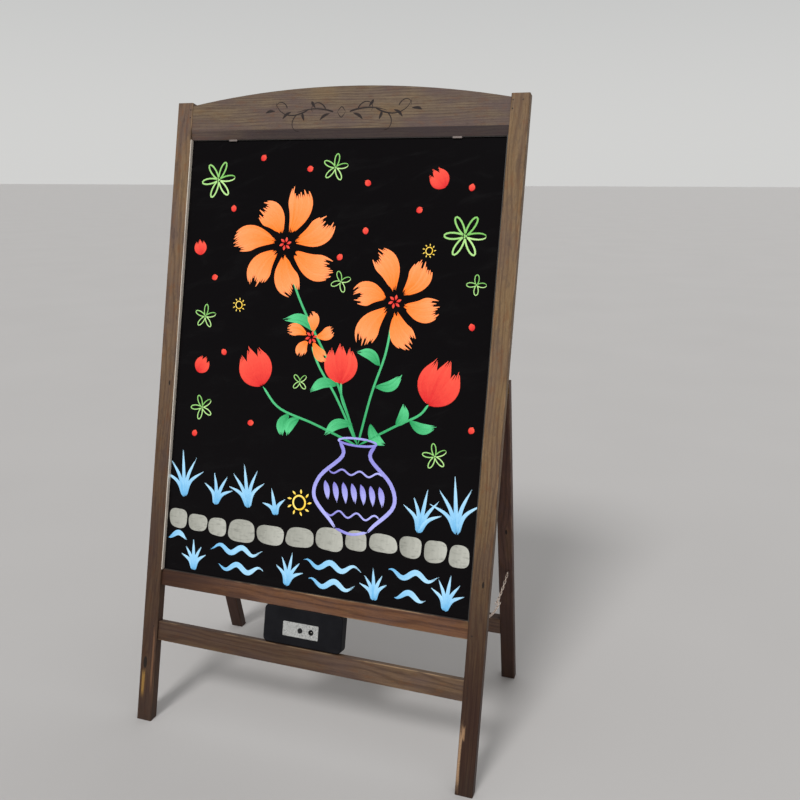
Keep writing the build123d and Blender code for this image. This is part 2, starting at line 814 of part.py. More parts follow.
def hinge_front_leaf(side):
    """Leaf on the back of a stile, with the two outer knuckles."""
    rear_span, front_spans = knuckle_spans()
    y0, y1 = stile_depth, stile_depth + hinge_leaf_thickness
    return FRONT * hinge_leaf(side, y0, y1, pivot_depth, hinge_height, front_spans, [rear_span],
                              hinge_pin_radius + hole_play, y1, -1)


def hinge_rear_leaf(side):
    """Leaf on the front of a rear leg, with the middle knuckle."""
    rear_span, front_spans = knuckle_spans()
    y0, y1 = hinge_radius - hinge_leaf_thickness, hinge_radius
    return REAR * hinge_leaf(side, y0, y1, 0, 0, [rear_span], front_spans, hinge_pin_radius + hinge_turn_play, y0, 1)


def hinge_pins():
    """Pins of both hinges."""
    half = hinge_length / 2
    return Compound([FRONT * rod((side * leaf_x - half, pivot_depth, hinge_height),
                                 (side * leaf_x + half, pivot_depth, hinge_height), hinge_pin_radius)
                     for side in (-1, 1)])


def front_leaf_screws():
    """Screws of the front leaves."""
    face = stile_depth + hinge_leaf_thickness
    return Compound([FRONT * one for side in (-1, 1) for one in leaf_screws(side, face, -1, hinge_height)])


def rear_leaf_screws():
    """Screws of the rear leaves."""
    face = hinge_radius - hinge_leaf_thickness
    return Compound([REAR * one for side in (-1, 1) for one in leaf_screws(side, face, 1, 0)])


def rear_dowels(side, play=0.0):
    """Dowels between the rear rail and one rear leg, or the bores for them."""
    x = half_width - rear_leg_width
    reach = dowel_length / 2 + play
    middle = hinge_radius + rear_leg_depth / 2
    spacing = stretcher_dowel_spacing
    heights = [-rear_rail_drop - (rear_rail_height - spacing) / 2, -rear_rail_drop - (rear_rail_height + spacing) / 2]
    return [rod((side * (x - reach), middle, z), (side * (x + reach), middle, z), dowel_radius + play)
            for z in heights]


def rear_leg(side):
    """Rear leg from its hinge down to its level foot."""
    x0 = half_width - rear_leg_width
    top = -hinge_radius - rear_leg_top_gap
    body = bar(x0, half_width, hinge_radius, rear_back, rear_foot_height - overrun, top, wood_round, wood_round)
    body = fillet(body.faces().sort_by(Axis.Z)[-1].edges(), back_round / 2)
    if side < 0:
        body = mirror(body, about=Plane.YZ)
    for bore in rear_dowels(side, hole_play):
        body -= bore
    for bore in leaf_screws(side, hinge_radius, 1, 0, hole_play):
        body -= bore
    body -= rear_eye_shank(side, hole_play)
    return above_floor(REAR * body)


def rear_cross_rail():
    """Rail between the rear legs."""
    body = rail(half_width - rear_leg_width, hinge_radius, rear_back, -rear_rail_drop - rear_rail_height,
                -rear_rail_drop, rail_round, rail_round)
    return REAR * cut_all(body, rear_dowels(-1, hole_play) + rear_dowels(1, hole_play))


def front_chain_eye(side):
    """Screw eye in the back of a stile."""
    depth, z = front_eye_place()
    return FRONT * (eye_ring(side * front_eye_x, depth, z) + front_eye_shank(side))


def rear_chain_eye(side):
    """Screw eye in the front of a rear leg."""
    depth, z = rear_eye_place()
    return REAR * (eye_ring(side * rear_eye_x, depth, z) + rear_eye_shank(side))


def front_eye_point():
    """Y and Z of the centre of a front eye's ring."""
    y, z = leaned(*front_eye_place())
    return front_edge_y + y, z


def rear_eye_point():
    """Y and Z of the centre of a rear eye's ring."""
    y, z = rear_leaned(*rear_eye_place())
    return pivot_y + y, pivot_z + z


def chain_curve(share):
    """Y and Z on the chain's sagging line, from the front eye to the rear eye."""
    y0, z0 = front_eye_point()
    y1, z1 = rear_eye_point()
    sag = 4 * chain_sag * share * (1 - share)
    return y0 + (y1 - y0) * share, z0 + (z1 - z0) * share - sag


def chain_nodes(start_share, end_share, count):
    """Points that part one half of the chain into links of equal length, the last link across the middle."""
    steps = chain_line_steps
    line = [chain_curve(start_share + (end_share - start_share) * i / steps) for i in range(steps + 1)]
    lengths = [0.0]
    for a, b in zip(line, line[1:]):
        lengths.append(lengths[-1] + hypot(b[0] - a[0], b[1] - a[1]))
    first = eye_ring_radius - eye_wire_radius - link_play / 2
    pitch = (lengths[steps // 2] - first) / (count - 1 / 2)
    nodes = []
    for index in range(count + 1):
        want = first + index * pitch
        place = min(range(steps + 1), key=lambda i: abs(lengths[i] - want))
        nodes.append(line[place])
    return nodes, pitch


def chain_link(x, start, end, flat):
    """Closed oval link whose end bends are centred just past two neighbouring points."""
    (y0, z0), (y1, z1) = start, end
    span = hypot(y1 - y0, z1 - z0)
    bend = link_inner_width / 2 + link_wire_radius
    inner_length = span + link_play
    straight = inner_length - link_inner_width
    path_face = SlotCenterToCenter(straight, 2 * bend)
    path = path_face.wire()
    ring = sweep(Plane(origin=path @ 0, z_dir=path % 0) * Circle(link_wire_radius), path=path)
    turn = Rot(0, 0, 90) if flat else Rot(0, 0, 90) * Rot(90, 0, 0)
    tilt = degrees(atan2(z1 - z0, y1 - y0))
    middle = Pos(x, (y0 + y1) / 2, (z0 + z1) / 2)
    return middle * Rot(tilt, 0, 0) * turn * ring


def chain_half(side, rear):
    """Half of a chain, from its eye to the chain's middle: a row of interlocked links."""
    nodes, pitch = chain_nodes(int(rear), int(not rear), chain_links_per_half)
    x = side * (rear_eye_x if rear else front_eye_x)
    links = []
    for index, (a, b) in enumerate(zip(nodes, nodes[1:])):
        links.append(chain_link(x, a, b, index % 2 == 0))
    print("chain tip y, z", [round(v, 4) for v in nodes[-1]], "pitch", round(pitch, 3))
    return Compound(links)


def main():
    for name, side in SIDES:
        write(name + "_stile", stile(side))
        write(name + "_led_channel", side_channel(side))
        write(name + "_led_strip", led_strip(side))
        write(name + "_led_chips", led_chips(side))
        write(name + "_led_lead", led_lead(side))
        write(name + "_hinge_front_leaf", hinge_front_leaf(side))
        write(name + "_hinge_rear_leaf", hinge_rear_leaf(side))
        write(name + "_rear_leg", rear_leg(side))
        write(name + "_front_chain_eye", front_chain_eye(side))
        write(name + "_rear_chain_eye", rear_chain_eye(side))
        for rear in (False, True):
            write(name + ("_chain_rear_half" if rear else "_chain_front_half"), chain_half(side, rear))
    write("header_board", header_board())
    write("lower_rail", lower_rail())
    write("stretcher", stretcher())
    write("front_dowels", Compound([FRONT * one for side in (-1, 1) for one in dowels(side)]))
    write("top_channel", cross_channel(True))
    write("bottom_channel", cross_channel(False))
    write("writing_panel", sheet(panel_front, panel_thickness))
    write("black_backing", sheet(backing_front, backing_thickness))
    write("rear_cover", rear_cover())
    write("cover_screws", Compound([FRONT * one for one in cover_screws()]))
    write("top_clips", top_clips())
    write("hinge_pins", hinge_pins())
    write("front_leaf_screws", front_leaf_screws())
    write("rear_leaf_screws", rear_leaf_screws())
    write("rear_cross_rail", rear_cross_rail())
    write("rear_dowels", Compound([REAR * one for side in (-1, 1) for one in rear_dowels(side)]))
    write("box_front_shell", box_front_shell())
    write("box_rear_cover", box_rear_cover())
    write("box_screws", Compound([FRONT * one for one in box_screws()]))
    write("mount_screws", Compound([FRONT * one for one in mount_screws()]))
    write("face_plate", face_plate())
    write("power_button", power_button())
    write("switch_plunger", switch_plunger())
    write("power_switch", power_switch())
    write("charging_socket", charging_socket())
    write("socket_pin", socket_pin())
    write("control_board", control_board())
    write("battery_cells", battery_cells())
    write("cell_tape", cell_tape())
    write("cell_tabs", cell_tabs())
    print("hinge axis y, z", round(pivot_y, 4), round(pivot_z, 4))
    print("front eye y, z", [round(v, 4) for v in front_eye_point()])
    print("rear eye y, z", [round(v, 4) for v in rear_eye_point()])
    print("footprint", round(footprint, 4), "front edge", round(front_edge_y, 4))
    print("button place", [round(v, 4) for v in (FRONT * Pos(button_offset, plate_front, plate_middle)).position])
    print("socket place", [round(v, 4) for v in (FRONT * Pos(socket_offset, plate_front, plate_middle)).position])


main()
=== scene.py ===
import logging
import math
from dataclasses import dataclass, field
from enum import Enum
from typing import Any, Optional, Protocol, Sequence, Union

import bpy
import numpy as np
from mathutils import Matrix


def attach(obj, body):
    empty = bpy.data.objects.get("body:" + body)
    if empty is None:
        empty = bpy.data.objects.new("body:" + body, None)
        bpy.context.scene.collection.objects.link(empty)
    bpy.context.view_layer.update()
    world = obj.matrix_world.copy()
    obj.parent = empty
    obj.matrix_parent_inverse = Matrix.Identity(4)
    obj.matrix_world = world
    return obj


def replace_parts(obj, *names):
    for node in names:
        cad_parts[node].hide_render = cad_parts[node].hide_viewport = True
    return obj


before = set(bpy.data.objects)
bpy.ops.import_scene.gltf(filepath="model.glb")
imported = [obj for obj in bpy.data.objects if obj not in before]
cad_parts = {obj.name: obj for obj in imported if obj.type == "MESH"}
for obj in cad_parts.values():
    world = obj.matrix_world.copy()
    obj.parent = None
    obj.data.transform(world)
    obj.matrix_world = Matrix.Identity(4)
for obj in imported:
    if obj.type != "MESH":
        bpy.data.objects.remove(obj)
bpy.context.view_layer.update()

log = logging.getLogger("writing_board")

Colour = tuple[float, float, float]
Pair = tuple[float, float]
Triple = tuple[float, float, float]
Line = Union[Sequence[Pair], np.ndarray]

MM = 0.001
FRONT_BODY = "front_frame"
REAR_BODY = "rear_frame"


def tint(red: int, green: int, blue: int) -> Colour:
    """Linear colour of a screen colour given as three numbers from 0 to 255.

    Args:
        red, green, blue: the screen colour's channels.

    Returns:
        The channels in linear light, each from 0 to 1.
    """
    return tuple(float(c / 12.92 if c <= 0.04045 else ((c + 0.055) / 1.055) ** 2.4)
                 for c in (red / 255, green / 255, blue / 255))


def toned(colour: Colour, factor: float) -> Colour:
    """The colour made darker or lighter by a factor, up to full light."""
    return tuple(min(1.0, c * factor) for c in colour)


def both(name: str) -> tuple[str, str]:
    """The left and the right node of a name."""
    return "left_" + name, "right_" + name


class Value:
    """An output of a shader node that takes part in arithmetic."""

    def __init__(self, sums: "Sums", socket: bpy.types.NodeSocket) -> None:
        """Keep the output and the sums that it belongs to."""
        self.sums = sums
        self.socket = socket

    def math(self, operation: str, *others: "Number", turned: bool = False) -> "Value":
        """One Math node on this value.

        Args:
            operation: the node's operation.
            others: the node's other operands.
            turned: whether the first other operand comes before this value.

        Returns:
            The node's result.
        """
        operands = [self, *others]
        if turned:
            operands[0], operands[1] = operands[1], operands[0]
        return self.sums.node("Math", {"operation": operation}, dict(enumerate(operands)))

    def __add__(self, other: "Number") -> "Value":
        """Sum."""
        return self.math("ADD", other)

    def __sub__(self, other: "Number") -> "Value":
        """Difference."""
        return self.math("SUBTRACT", other)

    def __rsub__(self, other: "Number") -> "Value":
        """Difference, with this value second."""
        return self.math("SUBTRACT", other, turned=True)

    def __mul__(self, other: "Number") -> "Value":
        """Product."""
        return self.math("MULTIPLY", other)

    def __truediv__(self, other: "Number") -> "Value":
        """Quotient."""
        return self.math("DIVIDE", other)

    def __rtruediv__(self, other: "Number") -> "Value":
        """Quotient, with this value second."""
        return self.math("DIVIDE", other, turned=True)

    def __pow__(self, other: "Number") -> "Value":
        """Power."""
        return self.math("POWER", other)

    def __rpow__(self, other: "Number") -> "Value":
        """Power, with this value as the exponent."""
        return self.math("POWER", other, turned=True)

    __radd__ = __add__
    __rmul__ = __mul__

    def __abs__(self) -> "Value":
        """Size without its sign."""
        return self.math("ABSOLUTE")

    def root(self) -> "Value":
        """Square root."""
        return self.math("SQRT")

    def wave(self) -> "Value":
        """Sine brought to the range from 0 to 1."""
        return self.math("SINE") * 0.5 + 0.5

    def over(self, other: "Number") -> "Value":
        """The larger of the two."""
        return self.math("MAXIMUM", other)

    def step(self, low: float, high: float) -> "Value":
        """Smooth step from 0 at low to 1 at high.

        Args:
            low: where the step starts.
            high: where it ends; below low the step falls.

        Returns:
            The step's value.
        """
        if high < low:
            return 1 - self.step(high, low)
        settings = {"interpolation_type": "SMOOTHSTEP"}
        return self.sums.node("MapRange", settings, {0: self, 1: low, 2: high})


Number = Union[Value, float]


@dataclass(frozen=True)
class Place:
    """A leaning group's own upright coordinates, in millimetres.

    They are u to the right, y to the back and v up along the group. The foot is their origin, in
    metres of the finished model.
    """

    lean: float
    foot: Triple

    def to_model(self, points: np.ndarray) -> np.ndarray:
        """Turn own coordinates about X by the lean and move them to the foot.

        Args:
            points: own coordinates in millimetres, in the last axis.

        Returns:
            Coordinates of the finished model, in metres.
        """
        cosine, sine = math.cos(self.lean), math.sin(self.lean)
        u, y, v = points[..., 0], points[..., 1], points[..., 2]
        turned = np.stack([u, y * cosine - v * sine, y * sine + v * cosine], -1)
        return turned * MM + np.array(self.foot)

    def shift(self) -> Triple:
        """Offset, in millimetres, that a Mapping node adds after it has turned a point back."""
        cosine, sine = math.cos(self.lean), math.sin(self.lean)
        x, y, z = (value / MM for value in self.foot)
        return -x, -(y * cosine + z * sine), -(z * cosine - y * sine)


FRONT = Place(math.radians(-14.0), (0.0, -0.1869524, 0.0))
REAR = Place(math.radians(14.1), (0.0, -0.0006191, 0.6626041))


class Sums:
    """A node tree and the sums made in it."""

    def __init__(self, tree: bpy.types.NodeTree) -> None:
        """Keep the tree."""
        self.tree = tree

    def node(self, kind: str, settings: dict[str, Any], inputs: dict[Any, Any],
             output: Any = 0) -> Value:
        """Add a node.

        Args:
            kind: the node's type, without its ShaderNode prefix.
            settings: the node's own settings, which are set first.
            inputs: a number, colour or Value for each socket, by index or name.
            output: the output that is wanted.

        Returns:
            The wanted output.
        """
        made = self.tree.nodes.new("ShaderNode" + kind)
        for key, value in settings.items():
            setattr(made, key, value)
        for key, value in inputs.items():
            self.plug(value, made.inputs[key])
        return Value(self, made.outputs[output])

    def plug(self, value: Any, socket: bpy.types.NodeSocket) -> None:
        """Link a Value to a socket, or set the socket's number or colour.

        Args:
            value: a Value, a number, a colour or a vector.
            socket: the input that takes it.
        """
        if isinstance(value, Value):
            self.tree.links.new(value.socket, socket)
        elif isinstance(value, tuple) and socket.type == "RGBA":
            socket.default_value = (*value, 1.0)
        else:
            socket.default_value = value

    def parts(self, vector: Value) -> tuple[Value, Value, Value]:
        """The three numbers of a vector."""
        made = self.node("SeparateXYZ", {}, {0: vector}).socket.node
        return tuple(Value(self, made.outputs[index]) for index in range(3))

    def vector(self, x: Number, y: Number, z: Number) -> Value:
        """A vector of three numbers."""
        return self.node("CombineXYZ", {}, {0: x, 1: y, 2: z})

    def noise(self, point: Value, scale: Triple = (1.0, 1.0, 1.0), detail: float = 2.0,
              rough: float = 0.5, shift: Triple = (0.0, 0.0, 0.0), warp: float = 0.0) -> Value:
        """Soft noise of a point that is multiplied by a scale and then shifted.

        Args:
            point: where the noise is read.
            scale: about how often it changes in one unit of each axis.
            detail: how many finer layers are added.
            rough: how strong the finer layers are.
            shift: how far the pattern is moved.
            warp: how far the noise bends itself.

        Returns:
            Noise from 0 to 1.
        """
        settings = {"operation": "MULTIPLY_ADD"}
        moved = self.node("VectorMath", settings, {0: point, 1: scale, 2: shift})
        return self.node("TexNoise", {}, {"Vector": moved, "Scale": 1.0, "Detail": detail,
                                          "Roughness": rough, "Distortion": warp})

    def mix(self, share: Number, first: Any, second: Any) -> Value:
        """Blend two colours.

        Args:
            share: how much of the second colour there is.
            first: the colour below.
            second: the colour on top.

        Returns:
            The blended colour.
        """
        return self.node("Mix", {"data_type": "RGBA"}, {0: share, 6: first, 7: second}, 2)

    def layered(self, base: Any, *layers: tuple[Number, Any]) -> Any:
        """Lay colours over a base, one after another.

        Args:
            base: the lowest colour.
            layers: the share and the colour of each layer, from the lowest up.

        Returns:
            The blended colour.
        """
        for share, colour in layers:
            base = self.mix(share, base, colour)
        return base

    def bump(self, height: Value, depth: float, strength: float = 1.0) -> Value:
        """Bent normals from a height.

        Args:
            height: relief from 0 to 1.
            depth: what 1 stands for, in millimetres.
            strength: how much of it shows.

        Returns:
            The bent normal.
        """
        inputs = {"Height": height, "Distance": depth * MM, "Strength": strength}
        return self.node("Bump", {}, inputs, "Normal")


class Recipe(Sums):
    """One material and the sums that feed its shader."""

    def __init__(self, name: str) -> None:
        """Start a material with an empty shader.

        Args:
            name: the material's name.
        """
        self.material = bpy.data.materials.new(name)
        self.material.use_nodes = True
        super().__init__(self.material.node_tree)
        self.tree.nodes.clear()
        self.shader = self.tree.nodes.new("ShaderNodeBsdfPrincipled")
        output = self.tree.nodes.new("ShaderNodeOutputMaterial")
        self.tree.links.new(self.shader.outputs["BSDF"], output.inputs["Surface"])

    def here(self, place: Optional[Place] = None) -> Value:
        """Own coordinates of the shaded point, in millimetres.

        Args:
            place: the leaning group, or None for the finished model's axes.

        Returns:
            The coordinates u, y and v as one vector.
        """
        point = self.node("TexCoord", {}, {}, "Object")
        turn = (-place.lean, 0.0, 0.0) if place else (0.0, 0.0, 0.0)
        shift = place.shift() if place else (0.0, 0.0, 0.0)
        return self.node("Mapping", {}, {"Vector": point, "Scale": (1 / MM, 1 / MM, 1 / MM),
                                         "Rotation": turn, "Location": shift})

    def inked(self) -> Value:
        """The stroke attribute: millimetres along, share across from -1 to 1, and shade."""
        return self.node("Attribute", {"attribute_name": "stroke"}, {}, "Vector")

    def done(self, **sockets: Any) -> bpy.types.Material:
        """Feed the shader.

        Args:
            sockets: a value for each shader socket, with underscores for the spaces in its name.

        Returns:
            The finished material.
        """
        for key, value in sockets.items():
            self.plug(value, self.shader.inputs[key.replace("_", " ")])
        return self.material


class Finish(Protocol):
    """What every finish can do."""

    def material(self) -> bpy.types.Material:
        """Make the finish's material."""


class Grain(Enum):
    """Which way a board's grain runs."""

    UPRIGHT = "along the frame"
    ACROSS = "from side to side"


@dataclass(frozen=True)
class Spot:
    """A place on a board: its middle and half sizes across and along the board, in millimetres."""

    across: float
    along: float
    half_width: float
    half_length: float


@dataclass(frozen=True)
class Rub(Spot):
    """A place where the stain has worn through."""

    colour: Colour = tint(176, 140, 104)
    share: float = 0.8


@dataclass(frozen=True)
class StainedWood:
    """Stained fir board: fibres, rings round a pith, pores, knots, cool blotches, and edges that
    are partly worn, partly painted highlight and partly painted shade.

    Sizes are in millimetres: middle and half lie across the board, front is the depth of its face,
    and pith is the pith's place from the middle and the face. The darkening along the length holds
    where the board starts and stops to darken, and by what share; it is painted shade of light
    falling off, partly darker stain. The seed moves the board's noises.
    """

    name: str
    grain: Grain
    middle: float
    half: float
    front: float = 0.0
    place: Place = FRONT
    light: Colour = tint(142, 116, 88)
    dark: Colour = tint(92, 70, 52)
    cool: Colour = tint(94, 76, 74)
    cool_share: float = 0.5
    honey: Colour = tint(134, 108, 70)
    amber: Colour = tint(132, 86, 48)
    slate: Colour = tint(62, 47, 48)
    mottled: float = 0.2
    # Pale colour of the front edges: partly wear, partly painted highlight.
    rubbed_edge_and_highlight: Colour = tint(182, 150, 114)
    rub: float = 0.6
    pith: Pair = (-22.0, 46.0)
    ring_gap: float = 4.2
    ring_power: float = 2.6
    ring_share: float = 0.2
    figure: float = 26.0
    depth_middle: float = 1.01
    spread: float = 0.35
    knots: tuple[Spot, ...] = ()
    rubs: tuple[Rub, ...] = ()
    # Darkening along the board: painted shade of light falling off, partly darker stain.
    shade_and_stain_fall: Optional[Triple] = None
    shade_and_stain_dark: Colour = tint(48, 24, 13)
    foot: Optional[float] = None
    # Darkening at the foot: partly dirt, partly painted shade.
    foot_dirt_and_shade: Colour = tint(40, 31, 24)
    foot_shade_reach: float = 70.0
    band_top: Optional[float] = None
    banded: Colour = tint(48, 38, 42)
    seed: float = 0.0

    def grown_knots(self, across: Value, along: Value) -> tuple[Number, Number]:
        """The pull of the knots on the rings and their dark hearts.

        The distance from a knot is counted in its own half sizes. The pull falls off as a bell of
        it, and the heart is a falling step of it with faint rings of its own.

        Args:
            across: millimetres from the board's middle.
            along: millimetres along it.

        Returns:
            The pull in millimetres, and the share of the hearts.
        """
        pull: Number = 0.0
        heart: Number = 0.0
        for knot in self.knots:
            wide = (across - knot.across) / knot.half_width
            long = (along - knot.along) / knot.half_length
            far = (wide * wide + long * long).root()
            pull = math.e ** (far * far * -0.35) * knot.half_width * 1.6 + pull
            heart = (far.step(1.08, 0.80) * ((far * 11.0).wave() * 0.12 + 0.88)).over(heart)
        return pull, heart

    def material(self) -> bpy.types.Material:
        """Fibres are noise stretched along the board; rings are a sine of how far the pith is.

        Slow noise and the knots pull the rings about. Both, with coarser noises, make the depth of
        the stain. Blotches, mottle, pores, painted shade on the long edges and the narrow faces
        along them, pale front edges that are partly wear and partly painted highlight, painted
        shade that falls off along the board and is partly darker stain, darkening at the foot that
        is partly dirt and partly painted shade, knots, rubs and a dark lower band are then laid
        over it in this order.

        Returns:
            The board's material.
        """
        r = Recipe(self.name)
        u, y, v = r.parts(r.here(self.place))
        across, along = (u, v) if self.grain is Grain.UPRIGHT else (v, u)
        a, b = across - self.middle, y - self.front
        own = r.vector(a, b, along + self.seed)
        beside, ahead = (0.0, self.seed, 0.0), (0.0, 0.0, self.seed)
        pull, heart = self.grown_knots(a, along)
        slow = r.noise(own, (0.016, 0.016, 0.0034), shift=beside)
        fibre = r.noise(own, (1.9, 1.9, 0.045), 4.0, 0.65, beside)
        streak = r.noise(own, (0.42, 0.42, 0.009), 4.0, 0.6, beside)
        blotch = r.noise(own, (0.03, 0.03, 0.009), 3.0, 0.5, beside)
        mottle = r.noise(own, (0.10, 0.10, 0.032), 4.0, 0.7, beside)
        patch = r.noise(own, (0.16, 0.16, 0.022), 3.0, 0.5, beside).step(0.42, 0.62)
        grit = r.noise(own, (1.2, 1.2, 0.5), 3.0, 0.7, ahead)
        pore = r.noise(own, (3.4, 3.4, 0.075), 1.0, 0.5, ahead).step(0.6, 0.74)
        radius = ((a - self.pith[0]) ** 2 + (b - self.pith[1]) ** 2).root()
        bent = radius + slow * self.figure + pull
        ring = (bent * (2 * math.pi / self.ring_gap)).wave() ** self.ring_power
        depth = ring * self.ring_share + fibre * 0.5 + streak * 0.6 + mottle * 0.55 + grit * 0.3
        stain = depth.step(self.depth_middle - self.spread, self.depth_middle + self.spread)
        edge = abs(a).step(self.half - 2.6, self.half - 0.2)
        pore_and_edge_shade = toned(self.dark, 0.3)
        layers = [(stain, self.dark), (blotch.step(0.42, 0.66) * self.cool_share, self.cool),
                  (blotch.step(0.46, 0.30) * 0.35, self.honey),
                  (mottle.step(0.53, 0.62) * self.mottled, self.amber),
                  (mottle.step(0.47, 0.38) * self.mottled, self.slate),
                  # Painted shade: the long edges and the narrow faces along them are darkened; the
                  # pores are darker in their own colour.
                  (pore * 0.45, pore_and_edge_shade), (edge * 0.34, pore_and_edge_shade),
                  # Pale front edges: partly wear, partly a painted highlight of the rounded edges.
                  (edge * b.step(3.0, 0.3) * patch * self.rub, self.rubbed_edge_and_highlight)]
        # Painted shade of light falling off along the board, partly darker stain.
        if self.shade_and_stain_fall is not None:
            start, end, share = self.shade_and_stain_fall
            layers.append((along.step(start, end) * (streak * 0.5 + 0.75) * share, self.shade_and_stain_dark))
        # Darker towards the foot: partly dirt, partly painted shade.
        if self.foot is not None:
            foot_darkening = (along - self.foot).step(self.foot_shade_reach, 2.0) * (patch * 0.6 + 0.4)
            layers.append((foot_darkening * 0.5, self.foot_dirt_and_shade))
        if self.knots:
            layers.append((heart, toned(self.dark, 0.07)))
        for rub in self.rubs:
            wide = abs(a - rub.across) / rub.half_width + (streak - 0.5) * 1.6 + (grit - 0.5) * 1.5
            long = abs(along - rub.along) / rub.half_length + (fibre - 0.5) * 1.6
            share = wide.over(long).step(1.0, 0.45) * (grit.step(0.3, 0.6) * 0.6 + 0.4)
            layers.append((share * rub.share, rub.colour))
        if self.band_top is not None:
            below = across.step(self.band_top + 0.5, self.band_top - 0.3)
            band = below * along.step(-330.0, -120.0)
            layers.append(((band * 0.6 + 0.2) * below, self.banded))
        relief = fibre * 0.6 + ring * 0.25 - pore * 0.5 - heart * 0.3
        return r.done(Base_Color=r.layered(self.light, *layers),
                      Roughness=fibre * 0.2 + 0.5 + pore * 0.12,
                      Specular_IOR_Level=0.3, Normal=r.bump(relief, 0.2, 0.7))


@dataclass(frozen=True)
class Plastic:
    """Moulded plastic with a fine sparked texture and faint uneven gloss."""

    name: str
    colour: Colour
    rough: float = 0.5
    texture: float = 0.05
    cell: float = 0.5
    mottle: float = 0.3
    gloss: float = 0.4
    glow: float = 0.0

    def material(self) -> bpy.types.Material:
        """Fine noise makes the texture; wide noise lightens the colour and varies the gloss.

        Returns:
            The plastic's material.
        """
        r = Recipe(self.name)
        own = r.here()
        fine = r.noise(own, (1 / self.cell,) * 3, 3.0, 0.6)
        wide = r.noise(own, (0.03,) * 3, 3.0)
        lighter = tuple(min(1.0, c * (1 + self.mottle) + 0.004) for c in self.colour)
        colour = r.mix(wide.step(0.35, 0.7) * 0.7 + fine * 0.3, self.colour, lighter)
        extra = {"Emission_Color": colour, "Emission_Strength": self.glow} if self.glow else {}
        return r.done(Base_Color=colour, Roughness=wide * 0.14 + fine * 0.1 + (self.rough - 0.12),
                      Specular_IOR_Level=self.gloss,
                      Normal=r.bump(fine, self.texture, 0.8), **extra)


@dataclass(frozen=True)
class Metal:
    """Metal drawn or brushed one way, with fine lines and clouding."""

    name: str
    colour: Colour
    rough: float = 0.35
    metallic: float = 1.0
    lines: Triple = (1.2, 1.2, 0.02)
    place: Optional[Place] = None
    stain: Colour = (0.2, 0.17, 0.13)
    stain_share: float = 0.25

    def material(self) -> bpy.types.Material:
        """Noise stretched along the lines makes the brushing, and wide noise the clouding.

        Returns:
            The metal's material.
        """
        r = Recipe(self.name)
        own = r.here(self.place)
        brushed = r.noise(own, self.lines, 3.0, 0.6)
        cloud = r.noise(own, (0.09,) * 3, 3.0).step(0.4, 0.75)
        colour = r.layered(toned(self.colour, 0.8), (brushed, toned(self.colour, 1.12)),
                           (cloud * self.stain_share, self.stain))
        return r.done(Base_Color=colour, Metallic=self.metallic,
                      Roughness=brushed * 0.2 + cloud * 0.12 + (self.rough - 0.12),
                      Normal=r.bump(brushed, 0.03, 0.6))


@dataclass(frozen=True)
class ChannelMetal:
    """Satin aluminium of the edge channel, with painted shade along its front edge."""

    name: str
    colour: Colour
    lines: Triple
    edge: Pair
    smudged: Colour = tint(140, 122, 106)
    # Painted shade colour for the channel's front edge.
    painted_edge_shade: Colour = tint(30, 25, 23)

    def material(self) -> bpy.types.Material:
        """The colour steps from painted shade to metal over the depths of edge; drawn lines are
        noise.

        Returns:
            The channel's material.
        """
        r = Recipe(self.name)
        own = r.here(FRONT)
        _, y, _ = r.parts(own)
        drawn = r.noise(own, self.lines, 3.0, 0.6)
        smudge = r.noise(own, (0.08, 0.3, 0.012), 3.0).step(0.4, 0.7)
        # The last layer is painted shade: the front edge darkens to a near-black brown.
        colour = r.layered(toned(self.colour, 0.82), (drawn, self.colour),
                           (smudge * 0.35, self.smudged),
                           (y.step(self.edge[1], self.edge[0]) * 0.94, self.painted_edge_shade))
        return r.done(Base_Color=colour, Metallic=0.15,
                      Roughness=drawn * 0.15 + smudge * 0.15 + 0.34,
                      Normal=r.bump(drawn, 0.03, 0.6))


@dataclass(frozen=True)
class SpeckledPlate:
    """Silver plate with a fine dark and bright speckle."""

    name: str = "speckled_silver"
    base: Colour = tint(188, 188, 185)
    fleck: Colour = tint(98, 99, 100)
    glint: Colour = tint(246, 246, 242)

    def material(self) -> bpy.types.Material:
        """Two fine noises are cut at a high level, one for dark flecks and one for bright ones.

        Returns:
            The plate's material.
        """
        r = Recipe(self.name)
        own = r.here(FRONT)
        coarse = r.noise(own, (0.5, 1.0, 0.5), 3.0, 0.8)
        fine = r.noise(own, (1.6, 1.0, 1.6), 2.0, 0.7, (31.0, 0.0, 0.0))
        colour = r.layered(self.base, (coarse.step(0.50, 0.60) * 0.8, self.fleck),
                           (fine.step(0.58, 0.68) * 0.8, self.glint))
        return r.done(Base_Color=colour, Metallic=0.25, Roughness=fine * 0.25 + 0.36,
                      Normal=r.bump(coarse, 0.02, 0.5))


@dataclass(frozen=True)
class BlackAcrylic:
    """Polished sheet over a black film, with faint wiped marks."""

    name: str
    rough: float = 0.22
    haze: float = 1.0
    gloss: float = 0.06
    black: Colour = (0.0036, 0.0028, 0.0034)
    wiped: Colour = (0.0075, 0.007, 0.0075)
    dusty: Colour = (0.02, 0.02, 0.02)

    def material(self) -> bpy.types.Material:
        """Noise stretched across the sheet makes a cloth's marks, which lift the black a little.

        Returns:
            The sheet's material.
        """
        r = Recipe(self.name)
        u, y, v = r.parts(r.here(FRONT))
        slant = r.vector(u * 0.010 + v * 0.004, v * 0.030 - u * 0.008, y)
        wipe = r.noise(slant, detail=4.0, rough=0.6, warp=0.6).step(0.5, 0.8)
        dust = r.noise(r.vector(u, v, y), (0.9, 0.9, 1.0), 2.0, 0.6).step(0.66, 0.8)
        colour = r.layered(self.black, (wipe * 0.5 * self.haze, self.wiped),
                           (dust * 0.2 * self.haze, self.dusty))
        return r.done(Base_Color=colour, Roughness=wipe * 0.15 + dust * 0.1 + self.rough,
                      Specular_IOR_Level=self.gloss)


